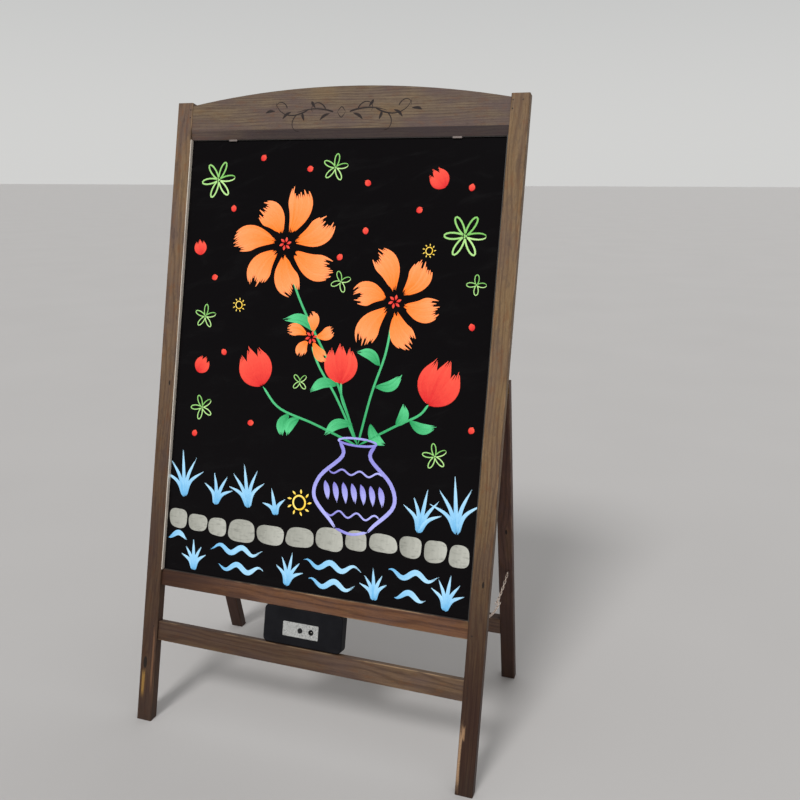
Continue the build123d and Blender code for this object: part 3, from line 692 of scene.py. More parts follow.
@dataclass(frozen=True)
class Hardboard:
    """Dark pressed board with short fibres, for the rear cover."""

    name: str = "rear_hardboard"
    dark: Colour = tint(88, 66, 50)
    light: Colour = tint(148, 118, 90)
    clouded: Colour = tint(88, 68, 54)
    fleck: Colour = tint(172, 144, 112)
    scuffed: Colour = tint(160, 134, 108)

    def material(self) -> bpy.types.Material:
        """Two stretched noises crossed at an angle stand for matted fibres.

        Wide noise clouds the board, fine noise cut high sets pale flecks in it, and long noise
        makes the scuffs.

        Returns:
            The board's material.
        """
        r = Recipe(self.name)
        own = r.here(FRONT)
        u, y, v = r.parts(own)
        one = r.noise(r.vector(u + v * 0.6, y, v - u * 0.6), (0.75, 1.0, 0.11), 4.0, 0.65)
        two = r.noise(r.vector(u - v * 0.5, y, v + u * 0.5), (0.14, 1.0, 0.9), 4.0, 0.65,
                      (0.0, 9.0, 0.0))
        fleck = r.noise(own, (0.55, 1.0, 0.55), 2.0, 0.7).step(0.58, 0.70)
        cloud = r.noise(own, (0.011, 1.0, 0.011), 5.0, 0.6)
        long = r.vector(u * 0.012 + v * 0.05, y, v * 0.006)
        scuff = r.noise(long, detail=4.0, rough=0.7).step(0.60, 0.74)
        colour = r.layered(self.dark, ((one + two).step(0.58, 1.42), self.light),
                           (cloud.step(0.36, 0.66) * 0.3, self.clouded),
                           (fleck * 0.45, self.fleck), (scuff * 0.3, self.scuffed))
        return r.done(Base_Color=colour, Roughness=one * 0.2 + scuff * 0.15 + 0.45,
                      Normal=r.bump(one + two + fleck * 0.5, 0.08, 0.6))


@dataclass(frozen=True)
class MarkerInk:
    """Dried chalk ink: two shades along a stroke, brush lines, thin spots and a slight glow."""

    name: str
    start: Colour
    end: Colour
    glow: float = 0.3
    thin: float = 0.35

    def material(self) -> bpy.types.Material:
        """Brush lines are noise stretched along the stroke; slower noise makes pools of ink.

        Returns:
            The ink's material.
        """
        r = Recipe(self.name)
        stroke = r.inked()
        _, _, shade = r.parts(stroke)
        bristle = r.noise(stroke, (0.05, 4.5, 3.0), 3.0, 0.6)
        pool = r.noise(stroke, (0.22, 1.2, 5.0), 2.0, shift=(0.0, 0.0, 7.0))
        colour = r.layered(self.start, (shade + (pool - 0.5) * 0.5, self.end),
                           (bristle.step(0.5, 0.8) * self.thin, toned(self.start, 0.42)))
        return r.done(Base_Color=colour, Roughness=0.72, Emission_Color=colour,
                      Emission_Strength=self.glow, Normal=r.bump(bristle, 0.08, 0.6))


@dataclass(frozen=True)
class BurntLine:
    """Line burnt into the header: nearly black brown with a char edge."""

    name: str = "burnt_line"
    char: Colour = tint(30, 21, 18)
    scorch: Colour = tint(66, 48, 40)

    def material(self) -> bpy.types.Material:
        """The colour turns from char at the middle of the line to scorched brown at its edges.

        Returns:
            The line's material.
        """
        r = Recipe(self.name)
        stroke = r.inked()
        _, across, _ = r.parts(stroke)
        grain = r.noise(stroke, (0.6, 2.0, 0.0), 3.0)
        edge = abs(across).step(0.35, 1.0)
        return r.done(Base_Color=r.mix(edge * 0.8 + grain * 0.2, self.char, self.scorch),
                      Roughness=0.8)


def tube(rows: int, columns: int) -> list[list[int]]:
    """Faces of a tube of rings of points, row after row, with one face over each end.

    Args:
        rows: how many rings there are.
        columns: how many points each ring has.

    Returns:
        The point numbers of each face.
    """
    i = np.arange(rows - 1)[:, None] * columns
    j = np.arange(columns)[None, :]
    k = (j + 1) % columns
    sides = np.stack([i + j, i + k, i + columns + k, i + columns + j], -1).reshape(-1, 4)
    last = (rows - 1) * columns
    return sides.tolist() + [list(range(columns))[::-1], list(range(last, last + columns))]


class Shell:
    """Points and faces of one piece, gathered part by part, each part a closed surface."""

    def __init__(self) -> None:
        """Start empty."""
        self.points: list[np.ndarray] = []
        self.faces: list[list[int]] = []
        self.data: list[np.ndarray] = []
        self.count = 0

    def add(self, points: np.ndarray, faces: Sequence[Sequence[int]],
            data: Optional[np.ndarray] = None) -> None:
        """Add one closed surface, turned so that its faces point outwards.

        The sign of the volume, which is the sum over the faces of a corner dotted with the cross
        product of two others, tells which way they point.

        Args:
            points: its points, in a group's own coordinates.
            faces: its faces by point number.
            data: a vector for each point, for the material.
        """
        triangles = np.array([(f[0], f[k], f[k + 1]) for f in faces for k in range(1, len(f) - 1)])
        a, b, c = (points[triangles[:, k]] for k in range(3))
        inward = float(np.einsum("ij,ij->i", a, np.cross(b, c)).sum()) < 0
        for face in faces:
            numbers = [int(n) + self.count for n in face]
            self.faces.append(numbers[::-1] if inward else numbers)
        self.points.append(points)
        self.data.append(np.zeros((len(points), 3)) if data is None else data)
        self.count += len(points)

    def piece(self, name: str, body: str, finish: Finish, slot: str, place: Place = FRONT,
              smooth: bool = True) -> bpy.types.Object:
        """Make the piece and let it ride.

        Args:
            name: the piece's name.
            body: the body that it rides on.
            finish: its finish.
            slot: a record's slot for its finish; not used.
            place: the leaning group whose coordinates the points use.
            smooth: whether its faces are shaded smooth.

        Returns:
            The new object.
        """
        mesh = bpy.data.meshes.new(name)
        mesh.from_pydata(place.to_model(np.concatenate(self.points)).tolist(), [], self.faces)
        attribute = mesh.attributes.new("stroke", "FLOAT_VECTOR", "POINT")
        attribute.data.foreach_set("vector", np.concatenate(self.data).astype(np.float32).ravel())
        mesh.polygons.foreach_set("use_smooth", np.full(len(mesh.polygons), smooth))
        mesh.materials.append(finish.material())
        mesh.update()
        made = bpy.data.objects.new(name, mesh)
        bpy.context.scene.collection.objects.link(made)
        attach(made, body)
        log.info("%s rides on %s with %d faces", name, body, len(self.faces))
        return made


@dataclass(frozen=True)
class Dressed:
    """Sub-assembly whose CAD meshes stay: each finish with the nodes that wear it."""

    finishes: tuple[tuple[Finish, tuple[str, ...]], ...]

    def build(self) -> None:
        """Make each finish and dress its nodes in it."""
        for finish, nodes in self.finishes:
            material = finish.material()
            for node in nodes:
                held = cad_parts[node].data.materials
                held.clear()
                held.append(material)
                log.info("%s is dressed in %s", node, material.name)


def through(points: Line, count: int) -> np.ndarray:
    """Smooth line through points: cubic spans that leave a point along its neighbours' chord.

    Each span's end slopes are half the way between the points before and after.

    Args:
        points: what the line goes through.
        count: how many points the line gets.

    Returns:
        The line's points.
    """
    p = np.asarray(points, float)
    if len(p) == 2:
        return p[0] + (p[1] - p[0]) * np.linspace(0, 1, count)[:, None]
    slope = np.gradient(p, axis=0)
    at = np.linspace(0, len(p) - 1, count)
    k = np.minimum(at.astype(int), len(p) - 2)
    t = (at - k)[:, None]
    t2, t3 = t * t, t * t * t
    return ((2 * t3 - 3 * t2 + 1) * p[k] + (t3 - 2 * t2 + t) * slope[k]
            + (3 * t2 - 2 * t3) * p[k + 1] + (t3 - t2) * slope[k + 1])


def left_of(line: np.ndarray) -> np.ndarray:
    """Unit vectors to the left of a line: its slope at each point, turned by a right angle."""
    slope = np.gradient(line, axis=0)
    slope /= np.linalg.norm(slope, axis=1, keepdims=True) + 1e-9
    return np.stack([-slope[:, 1], slope[:, 0]], -1)


# A ridge's cross-section: share of its half width, and share of its height
SECTION = np.array([(-1.0, 0.0), (-0.8, 0.75), (-0.3, 1.0), (0.3, 1.0), (0.8, 0.75), (1.0, 0.0)])
# How far a ridge, a patch or a pin starts behind the face that it lies on, in millimetres
ROOTED = 0.02


def ribbon(line: np.ndarray, widths: np.ndarray, height: float, face: float,
           shade: np.ndarray) -> tuple[np.ndarray, list[list[int]], np.ndarray]:
    """Low rounded ridge on an upright face: a section scaled by the width and carried along a line.

    Args:
        line: the line's points across and up the face, in millimetres.
        widths: the ridge's width at each point.
        height: how far the ridge stands out.
        face: depth of the face; the ridge stands out towards smaller depth.
        shade: the ink's shade at each point.

    Returns:
        Points, faces and the stroke data of a closed ridge.
    """
    across, rise = SECTION[:, 0], SECTION[:, 1]
    sideways = left_of(line)[:, None, :] * (across * 0.5)[None, :, None] * widths[:, None, None]
    flat = line[:, None, :] + sideways
    size = flat.shape[:2]
    depth = np.broadcast_to(face + ROOTED - (height + ROOTED) * rise, size)
    points = np.stack([flat[..., 0], depth, flat[..., 1]], -1).reshape(-1, 3)
    run = np.concatenate([[0.0], np.cumsum(np.linalg.norm(np.diff(line, axis=0), axis=1))])
    columns = (run[:, None], across, shade[:, None])
    data = np.stack([np.broadcast_to(column, size) for column in columns], -1).reshape(-1, 3)
    return points, tube(*size), data


class Taper(Enum):
    """How a stroke's width changes from its start to its end."""

    EVEN = "nearly even, with rounded ends"
    LEAF = "widest in the middle"
    PETAL = "widest past the middle, with a broad end"
    TAIL = "broad start and thin tail"

    def widths(self, share: np.ndarray) -> np.ndarray:
        """Width share at each share of the length.

        Args:
            share: places along the stroke, from 0 to 1.

        Returns:
            The width shares: a power of a sine for a leaf, a skewed one for a petal, a falling
            root for a tail.
        """
        ends = np.sqrt(np.clip(1 - (2 * share - 1) ** 16, 0, 1)) * 0.85 + 0.15
        if self is Taper.LEAF:
            return np.sin(np.pi * np.clip(share, 0.03, 0.97)) ** 0.8
        if self is Taper.PETAL:
            return 0.16 + 0.84 * np.sin(np.pi * share ** 1.25 * 0.86) ** 0.9
        if self is Taper.TAIL:
            return (1.02 - share) ** 0.55 * ends
        return ends


@dataclass
class Drawing:
    """Strokes of one ink on the writing panel, each a low ridge or a bundle of thin ones.

    A bundle's bristles are overlap times as wide as their share of its width. Their heights vary by
    the factors in uneven and their shades by drift, and they thin out over the share frayed of
    their length. lobes are the wavers of a patch's outline, and flat is the power by which its
    height falls off.
    """

    name: str
    ink: MarkerInk
    face: float = 8.2
    height: float = 0.22
    thinnest: float = 0.5
    overlap: float = 1.6
    frayed: float = 0.34
    drift: float = 0.07
    uneven: Pair = (0.75, 1.2)
    lobes: Pair = (0.035, 0.03)
    flat: int = 8
    seed: int = 1
    shell: Shell = field(default_factory=Shell)
    rng: np.random.Generator = field(init=False)

    def __post_init__(self) -> None:
        """Start this drawing's own row of random numbers."""
        self.rng = np.random.default_rng(self.seed)

    def stroke(self, points: Line, width: float, taper: Taper = Taper.EVEN,
               bristles: int = 1, ragged: float = 0.0, shade: Pair = (0.0, 1.0),
               count: int = 14) -> None:
        """Add a stroke.

        Each bristle is the stroke's line moved sideways by a fixed share of the width there. It
        ends a little early by a random share and thins over its last third, so that a broad stroke
        frays at its end.

        Args:
            points: what the stroke goes through.
            width: its greatest width.
            taper: how the width changes.
            bristles: how many ridges it is made of.
            ragged: the greatest share of the length that a bristle falls short by.
            shade: the ink's shade at the start and at the end.
            count: how many points each line gets.
        """
        fine = through(points, 6 * count)
        run = np.linspace(0, 1, len(fine))
        side = left_of(fine)
        profile = taper.widths(run) * width
        step = np.linspace(0, 1, count)
        frayed = np.clip((1.06 - step) / self.frayed, 0, 1) ** 0.8
        bundle = bristles > 1
        thin, ends = 1.0, 1.0
        if bundle:
            thin, ends = self.overlap / bristles, frayed * np.clip((step + 0.03) / 0.1, 0, 1)
        for lane in np.linspace(-0.5, 0.5, bristles) if bundle else (0.0,):
            first, last = self.rng.uniform(0, ragged, 2) if bundle else (0.0, 0.0)
            share = np.linspace(first * 0.5, 1 - last, count)
            moved = fine + side * (profile * lane * (1 - 1 / bristles))[:, None]
            line = np.stack([np.interp(share, run, moved[:, axis]) for axis in (0, 1)], -1)
            own = np.interp(share, run, profile) * thin
            drift = self.rng.normal(0, self.drift)
            tone = np.clip(shade[0] + (shade[1] - shade[0]) * share + drift, 0, 1)
            height = self.height * self.rng.uniform(*self.uneven)
            widths = np.maximum(own * ends, self.thinnest)
            self.shell.add(*ribbon(line, widths, height, self.face, tone))

    def ring(self, centre: Pair, radius: float, width: float, squash: float = 1.0) -> None:
        """Add a hand-drawn ring: the radius wavers with the angle, and the ends overlap.

        Args:
            centre: the ring's centre.
            radius: its mean radius.
            width: the line's width.
            squash: its height over its width.
        """
        start = self.rng.uniform(0, 2 * np.pi)
        angle = start + np.linspace(0, 2 * np.pi * 1.04, 26)
        wobble = radius * (1 + 0.035 * np.sin(angle * 2 + start) + 0.02 * np.linspace(-1, 1, 26))
        x, y = centre[0] + wobble * np.cos(angle), centre[1] + squash * wobble * np.sin(angle)
        self.stroke(np.stack([x, y], -1), width, count=40)

    def dab(self, centre: Pair, half: Pair, shade: Pair) -> None:
        """Add a filled patch, laid on in level brush strokes.

        Its outline is a superellipse, which wavers with twice and three times the angle. Its height
        is even and falls off with a high power of the share of the way to the outline.

        Args:
            centre: the patch's centre.
            half: its half width and half height.
            shade: the ink's shade at its left and at its right.
        """
        share = np.concatenate([np.linspace(0.1, 0.9, 5), [0.97, 1.0]])[:, None]
        angle = np.linspace(0, 2 * np.pi, 48, endpoint=False)[None, :]
        first, second = self.rng.uniform(0, 2 * np.pi, 2)
        square = (abs(np.cos(angle)) ** 3 + abs(np.sin(angle)) ** 3) ** (-1 / 3)
        waver = (1 + self.lobes[0] * np.sin(2 * angle + first)
                 + self.lobes[1] * np.sin(3 * angle + second))
        reach = square * waver * share
        x, y = reach * np.cos(angle), reach * np.sin(angle)
        across = centre[0] + half[0] * x
        lift = self.height * (1 - share ** self.flat) - ROOTED * (share == 1.0)
        depth = np.broadcast_to(self.face - lift, x.shape)
        points = np.stack([across, depth, centre[1] + half[1] * y], -1).reshape(-1, 3)
        tone = shade[0] + (shade[1] - shade[0]) * (x + 1) / 2
        self.shell.add(points, tube(*x.shape), np.stack([across, y, tone], -1).reshape(-1, 3))

    def make(self) -> bpy.types.Object:
        """Make the piece."""
        return self.shell.piece(self.name, FRONT_BODY, self.ink, "panel_acrylic")


def polar(centre: Pair, radius: float, angle: float) -> Pair:
    """Point at a distance and an angle, in degrees, from a centre."""
    turned = math.radians(angle)
    return centre[0] + radius * math.cos(turned), centre[1] + radius * math.sin(turned)


def waved(centre: Pair, length: float, rise: float, pace: float, phase: float,
          count: int) -> np.ndarray:
    """Level line that rises and falls as a sine of the distance from its centre.

    Args:
        centre: its centre.
        length: its length.
        rise: how far it rises and falls.
        pace: how far the sine turns in a millimetre, in radians.
        phase: the sine's turn at the centre.
        count: how many points it gets.

    Returns:
        The line's points.
    """
    x = np.linspace(-length / 2, length / 2, count)
    return np.stack([centre[0] + x, centre[1] + rise * np.sin(pace * x + phase)], -1)


@dataclass
class MarkerPicture:
    """Bouquet in a vase on a row of pebbles, with grass and ripples, in bright ink on the panel.

    flowers holds each blossom's centre, radius, number of petals and first angle.
    """

    orange: MarkerInk = MarkerInk("orange_ink", tint(255, 118, 18), tint(255, 150, 92), 0.42)
    red: MarkerInk = MarkerInk("red_ink", tint(216, 30, 30), tint(246, 84, 62), 0.32)
    green: MarkerInk = MarkerInk("green_ink", tint(120, 190, 92), tint(190, 232, 150), 0.30)
    leaf: MarkerInk = MarkerInk("leaf_ink", tint(24, 150, 84), tint(92, 208, 140), 0.26)
    blue: MarkerInk = MarkerInk("sky_ink", tint(104, 176, 222), tint(176, 220, 244), 0.32)
    lilac: MarkerInk = MarkerInk("lilac_ink", tint(128, 122, 206), tint(176, 178, 240), 0.30)
    yellow: MarkerInk = MarkerInk("yellow_ink", tint(248, 200, 40), tint(252, 226, 120), 0.34)
    chalk: MarkerInk = MarkerInk("pebble_ink", tint(150, 150, 140), tint(196, 196, 186), 0.10, 0.6)
    flowers: tuple[tuple[Pair, float, int, float], ...] = (
        ((-92, 905), 98, 7, 12), ((122, 812), 88, 6, 40), ((-28, 742), 46, 5, 80))
    vase_middle: float = 74.0
    vase_mouth: float = 566.0

    def blossom(self, drawing: Drawing, centre: Pair, radius: float, petals: int,
                turn: float) -> None:
        """Broad brushed petals that curl one way, round a centre.

        Args:
            drawing: what they are added to.
            centre: the blossom's centre.
            radius: its radius.
            petals: how many there are.
            turn: the first petal's angle.
        """
        for index in range(petals):
            angle = turn + 360 * index / petals
            reach = radius * (1 + 0.12 * math.sin(index * 2.4))
            line = [polar(centre, 0.2 * radius, angle), polar(centre, 0.62 * reach, angle + 5),
                    polar(centre, reach, angle + 16)]
            drawing.stroke(line, radius * 0.46, Taper.PETAL, 10, 0.24)

    def tulip(self, drawing: Drawing, foot: Pair, size: float, lean: float) -> None:
        """Three pointed petals that rise from one foot.

        Args:
            drawing: what they are added to.
            foot: where they start.
            size: their length.
            lean: the middle petal's angle from upright.
        """
        for spread, reach in ((-24, 0.92), (24, 0.92), (0, 1.0)):
            middle = polar(foot, 0.5 * size * reach, 90 + lean + spread * 1.35)
            tip = polar(foot, size * reach, 90 + lean + spread * 0.62)
            drawing.stroke([foot, middle, tip], size * 0.30, Taper.LEAF, 4, 0.12)

    def rosette(self, drawing: Drawing, centre: Pair, radius: float, loops: int,
                turn: float) -> None:
        """Looped line: its radius is a cosine of a multiple of the angle.

        It passes near the centre between two loops, and three short dabs mark the centre.

        Args:
            drawing: what it is added to.
            centre: the rosette's centre.
            radius: its radius.
            loops: how many loops it has.
            turn: the first loop's angle, in degrees.
        """
        angle = np.linspace(0, 2 * np.pi, 14 * loops)
        reach = radius * (0.56 + 0.44 * np.cos(loops * angle))
        turned = angle + math.radians(turn)
        points = [centre[0] + reach * np.cos(turned), centre[1] + reach * np.sin(turned)]
        drawing.stroke(np.stack(points, -1), max(1.7, radius * 0.09), count=14 * loops)
        for index in range(3):
            tip = polar(centre, radius * 0.1, turn + 120 * index)
            drawing.stroke([centre, tip], radius * 0.1, Taper.LEAF, count=5)

    def blossoms(self) -> Drawing:
        """Two large orange blossoms and a small one."""
        drawing = Drawing("orange_blossoms", self.orange, seed=3)
        for flower in self.flowers:
            self.blossom(drawing, *flower)
        return drawing

    def buds(self) -> Drawing:
        """Red tulips on the stems, hearts of the blossoms and loose petals round them."""
        drawing = Drawing("red_buds", self.red, seed=5)
        for foot, size, lean in (((196, 640), 88, -22), ((34, 664), 74, 4), ((-118, 648), 78, 26)):
            self.tulip(drawing, foot, size, lean)
        for centre, *_ in self.flowers:
            for angle in range(0, 360, 60):
                drawing.stroke([polar(centre, 3, angle), polar(centre, 12, angle + 18)], 5,
                               Taper.LEAF, count=6)
        for u, v, angle in ((-236, 838, 20), (-196, 700, 130), (-150, 1052, 60), (62, 1010, 150),
                            (148, 965, 30), (240, 1000, 80), (262, 770, 110), (10, 880, 45),
                            (-252, 545, 70), (-60, 1036, 15), (-200, 960, 95), (60, 925, 100),
                            (-142, 580, 5), (270, 600, 60)):
            drawing.stroke([(u, v), polar((u, v), 13, angle)], 8.5, Taper.LEAF, 2, 0.1, count=7)
        for foot, size, lean in (((196, 1006), 40, 40), ((-252, 664), 36, -30),
                                 ((-262, 880), 30, 10)):
            self.tulip(drawing, foot, size, lean)
        return drawing

    def rosettes(self) -> Drawing:
        """Small looped rosettes scattered over the sheet."""
        drawing = Drawing("looped_rosettes", self.green, height=0.26, seed=7)
        for centre, radius, loops, turn in (((-236, 1018), 34, 6, 8), ((-6, 1040), 24, 5, 10),
                                            ((236, 926), 36, 6, 0), ((-244, 768), 22, 5, 14),
                                            ((20, 842), 19, 4, 20), ((214, 556), 22, 5, 30),
                                            ((-238, 600), 23, 5, 40), ((-44, 662), 16, 4, 45),
                                            ((262, 846), 17, 4, 0)):
            self.rosette(drawing, centre, radius, loops, turn)
        return drawing

    def stems(self) -> Drawing:
        """Green stems from the vase to the blossoms, with leaves along them."""
        drawing = Drawing("green_stems", self.leaf, height=0.16, seed=11)
        for points in ([(20, 680), (-52, 800), (-88, 880)], [(92, 650), (112, 720), (120, 780)],
                       [(140, 600), (180, 622), (196, 642)], [(52, 610), (38, 640), (34, 670)],
                       [(-10, 590), (-80, 612), (-116, 648)], [(28, 640), (-8, 690), (-26, 726)]):
            mouth = (self.vase_middle, self.vase_mouth - 6)
            drawing.stroke([mouth, *points], 4.4, shade=(0.1, 0.7), count=18)
        for root, tip in (((30, 662), (-24, 646)), ((98, 664), (146, 690)),
                          ((104, 700), (60, 722)), ((-20, 752), (-86, 770)),
                          ((140, 600), (152, 640)), ((-40, 598), (-62, 564)),
                          ((62, 596), (10, 572)), ((94, 600), (126, 566)),
                          ((-60, 604), (-72, 560)), ((164, 612), (214, 606))):
            middle = ((root[0] + tip[0]) / 2 + (tip[1] - root[1]) * 0.18,
                      (root[1] + tip[1]) / 2 - (tip[0] - root[0]) * 0.18)
            drawing.stroke([root, middle, tip], 17, Taper.LEAF, 5, 0.14)
        return drawing

    def vase(self) -> Drawing:
        """Vase in outline with two waved bands and a row of dabs between them."""
        drawing = Drawing("lilac_vase", self.lilac, height=0.24, seed=13)
        middle, mouth = self.vase_middle, self.vase_mouth
        for side in (-1, 1):
            outline = [(middle + side * half, v) for half, v in (
                (34, mouth), (26, 540), (66, 500), (74, 462), (40, 424), (30, 412))]
            drawing.stroke(outline, 5.4, Taper.EVEN, 2, 0.02, count=26)
        drawing.ring((middle, mouth), 35, 4.2, 0.18)
        drawing.stroke([(middle - 30, 412), (middle, 405), (middle + 30, 412)], 5.2, count=10)
        for base, sway in ((512, 4), (438, 5)):
            drawing.stroke(waved((middle, base), 100, sway, 0.19, 0.0, 22), 3.4, count=44)
        for u in range(23, 126, 17):
            drawing.stroke([(u - 5, 494), (u, 478), (u + 4, 456)], 9, Taper.LEAF, 3, 0.15, count=10)
        return drawing

    def tuft(self, drawing: Drawing, foot: Pair, size: float, lean: float, blades: int) -> None:
        """Blades of grass that fan out from one foot, broad below and thin above.

        Args:
            drawing: what they are added to.
            foot: where they start.
            size: the middle blade's length.
            lean: the whole fan's lean, in degrees.
            blades: how many there are.
        """
        for spread in np.linspace(-42, 42, blades):
            reach = size * (1 - 0.3 * abs(spread) / 42)
            bend = polar(foot, 0.5 * reach, 90 + lean + spread * 0.6)
            tip = polar(foot, reach, 90 + lean + spread)
            drawing.stroke([foot, bend, tip], 7.4, Taper.TAIL, 2, 0.1, count=12)

    def meadow(self) -> Drawing:
        """Light-blue grass and ripples along the foot of the sheet."""
        drawing = Drawing("blue_meadow", self.blue, height=0.2, seed=17)
        for foot, size, lean, blades in (((-262, 430), 92, 6, 5), ((-196, 424), 66, -8, 4),
                                         ((-128, 426), 84, 10, 5), ((-72, 420), 50, 14, 3),
                                         ((196, 424), 78, -8, 5), ((262, 430), 98, 6, 5),
                                         ((-232, 297), 58, 4, 5), ((-42, 297), 62, -8, 5),
                                         ((126, 297), 56, 6, 5), ((252, 299), 64, -6, 5)):
            self.tuft(drawing, foot, size, lean, blades)
        for u, v, length, phase in ((-146, 346, 108, 0.0), (-270, 356, 40, 1.4),
                                    (44, 344, 112, 2.2), (192, 350, 92, 0.8),
                                    (-134, 314, 96, 2.8), (46, 312, 92, 1.0),
                                    (190, 314, 56, 2.0)):
            wave = waved((u, v), length, 6, 0.14, phase, 16)
            drawing.stroke(wave, 8.6, Taper.LEAF, 3, 0.07, count=32)
        return drawing

    def pebbles(self) -> Drawing:
        """Row of flat greyish stones on a slow wave, which the vase stands on."""
        drawing = Drawing("grey_pebbles", self.chalk, height=0.12, seed=19)
        rng = np.random.default_rng(29)
        u, last_start, row_end, gap = -290.0, 270.0, 288.0, 4.0
        while u < last_start:
            width = min(rng.uniform(36, 56), row_end - u)
            tall = rng.uniform(32, 42)
            middle = (u + width / 2, 390 + 8 * math.sin(u / 95))
            tones = rng.uniform(0.0, 0.4), rng.uniform(0.5, 1.0)
            drawing.dab(middle, (width / 2, tall / 2), tones)
            u += width + gap
        return drawing

    def suns(self) -> Drawing:
        """Small yellow suns, one beside the vase and two above."""
        drawing = Drawing("yellow_suns", self.yellow, height=0.2, seed=23)
        for centre, radius in (((-28, 448), 24), ((-176, 792), 13), ((176, 900), 12)):
            drawing.ring(centre, radius * 0.5, radius * 0.14)
            for angle in range(0, 360, 40):
                ray = [polar(centre, radius * 0.66, angle), polar(centre, radius, angle + 6)]
                drawing.stroke(ray, radius * 0.16, Taper.LEAF, count=6)
        return drawing

    def build(self) -> None:
        """Make every drawing."""
        for draw in (self.pebbles, self.stems, self.blossoms, self.buds, self.vase, self.rosettes,
                     self.meadow, self.suns):
            draw().make()


@dataclass(frozen=True)
class Boards(Dressed):
    """Stiles, header, rails, rear legs and dowels, each with a grain of its own."""

    finishes: tuple[tuple[Finish, tuple[str, ...]], ...] = (
        # Each board's darkening along its length is painted shade of light falling off, partly
        # stain; the darkening at a foot is partly dirt, partly painted shade.
        (StainedWood("left_stile_wood", Grain.UPRIGHT, -311.5, 15.5, foot=0.0, seed=40.0,
                     light=tint(146, 118, 88), dark=tint(95, 71, 52), mottled=0.42,
                     shade_and_stain_fall=(950.0, 150.0, 0.8),
                     knots=(Spot(-5.0, 110.0, 3.8, 12.0), Spot(6.0, 640.0, 1.8, 5.0)),
                     rubs=(Rub(-7.5, 70.0, 4.2, 28.0, tint(168, 128, 62), 0.85),
                           Rub(10.5, 118.0, 2.8, 74.0, tint(140, 100, 70), 0.6))),
         ("left_stile",)),
        (StainedWood("right_stile_wood", Grain.UPRIGHT, 311.5, 15.5, foot=0.0, seed=910.0,
                     light=tint(148, 120, 84), dark=tint(98, 72, 50), mottled=0.34,
                     cool_share=0.3, pith=(30.0, 52.0), shade_and_stain_fall=(620.0, 130.0, 0.95),
                     knots=(Spot(4.0, 355.0, 1.8, 6.0),),
                     rubs=(Rub(-12.5, 62.0, 3.4, 62.0, tint(186, 150, 116), 0.9),
                           Rub(-8.5, 104.0, 3.0, 14.0, tint(182, 142, 106), 0.8))),
         ("right_stile",)),
        (StainedWood("header_wood", Grain.ACROSS, 1128.0, 500.0, 2.0, seed=300.0,
                     light=tint(130, 110, 86), dark=tint(86, 68, 56), cool_share=0.75,
                     pith=(-60.0, 30.0), ring_share=0.13, spread=0.21, band_top=1106.0),
         ("header_board",)),
        (StainedWood("lower_rail_wood", Grain.ACROSS, 274.75, 15.25, 5.0, seed=1500.0,
                     light=tint(130, 88, 58), dark=tint(76, 46, 30), cool_share=0.25,
                     mottled=0.3, spread=0.28, shade_and_stain_fall=(-60.0, -290.0, 0.85)),
         ("lower_rail",)),
        (StainedWood("stretcher_wood", Grain.ACROSS, 172.8, 18.0, 5.0, seed=2200.0,
                     light=tint(122, 96, 72), dark=tint(74, 54, 41), cool_share=0.4,
                     shade_and_stain_fall=(190.0, -70.0, 0.5)),
         ("stretcher",)),
        # The rear legs' darker tints are partly painted shade.
        *((StainedWood(name + "_wood", Grain.UPRIGHT, side * 313.5, 13.5, 2.5, REAR,
                       tint(114, 82, 70), tint(64, 42, 36), tint(72, 54, 52), foot=-686.0,
                       seed=3000.0 + 500 * side, rub=0.3, shade_and_stain_fall=(-240.0, -600.0, 0.82),
                       knots=(Spot(3.0 * side, -250.0 - 60 * side, 2.0, 6.0),)), (name,))
          for name, side in zip(both("rear_leg"), (-1, 1))),
        (StainedWood("rear_rail_wood", Grain.ACROSS, -548.0, 18.0, 2.5, REAR, tint(122, 94, 75),
                     tint(74, 53, 42), tint(78, 60, 54), seed=4100.0, rub=0.3),
         ("rear_cross_rail",)),
        (StainedWood("dowel_beech", Grain.ACROSS, 0.0, 900.0, light=tint(205, 172, 128),
                     dark=tint(168, 130, 88), cool_share=0.1, rub=0.0),
         ("front_dowels", "rear_dowels")),
    )


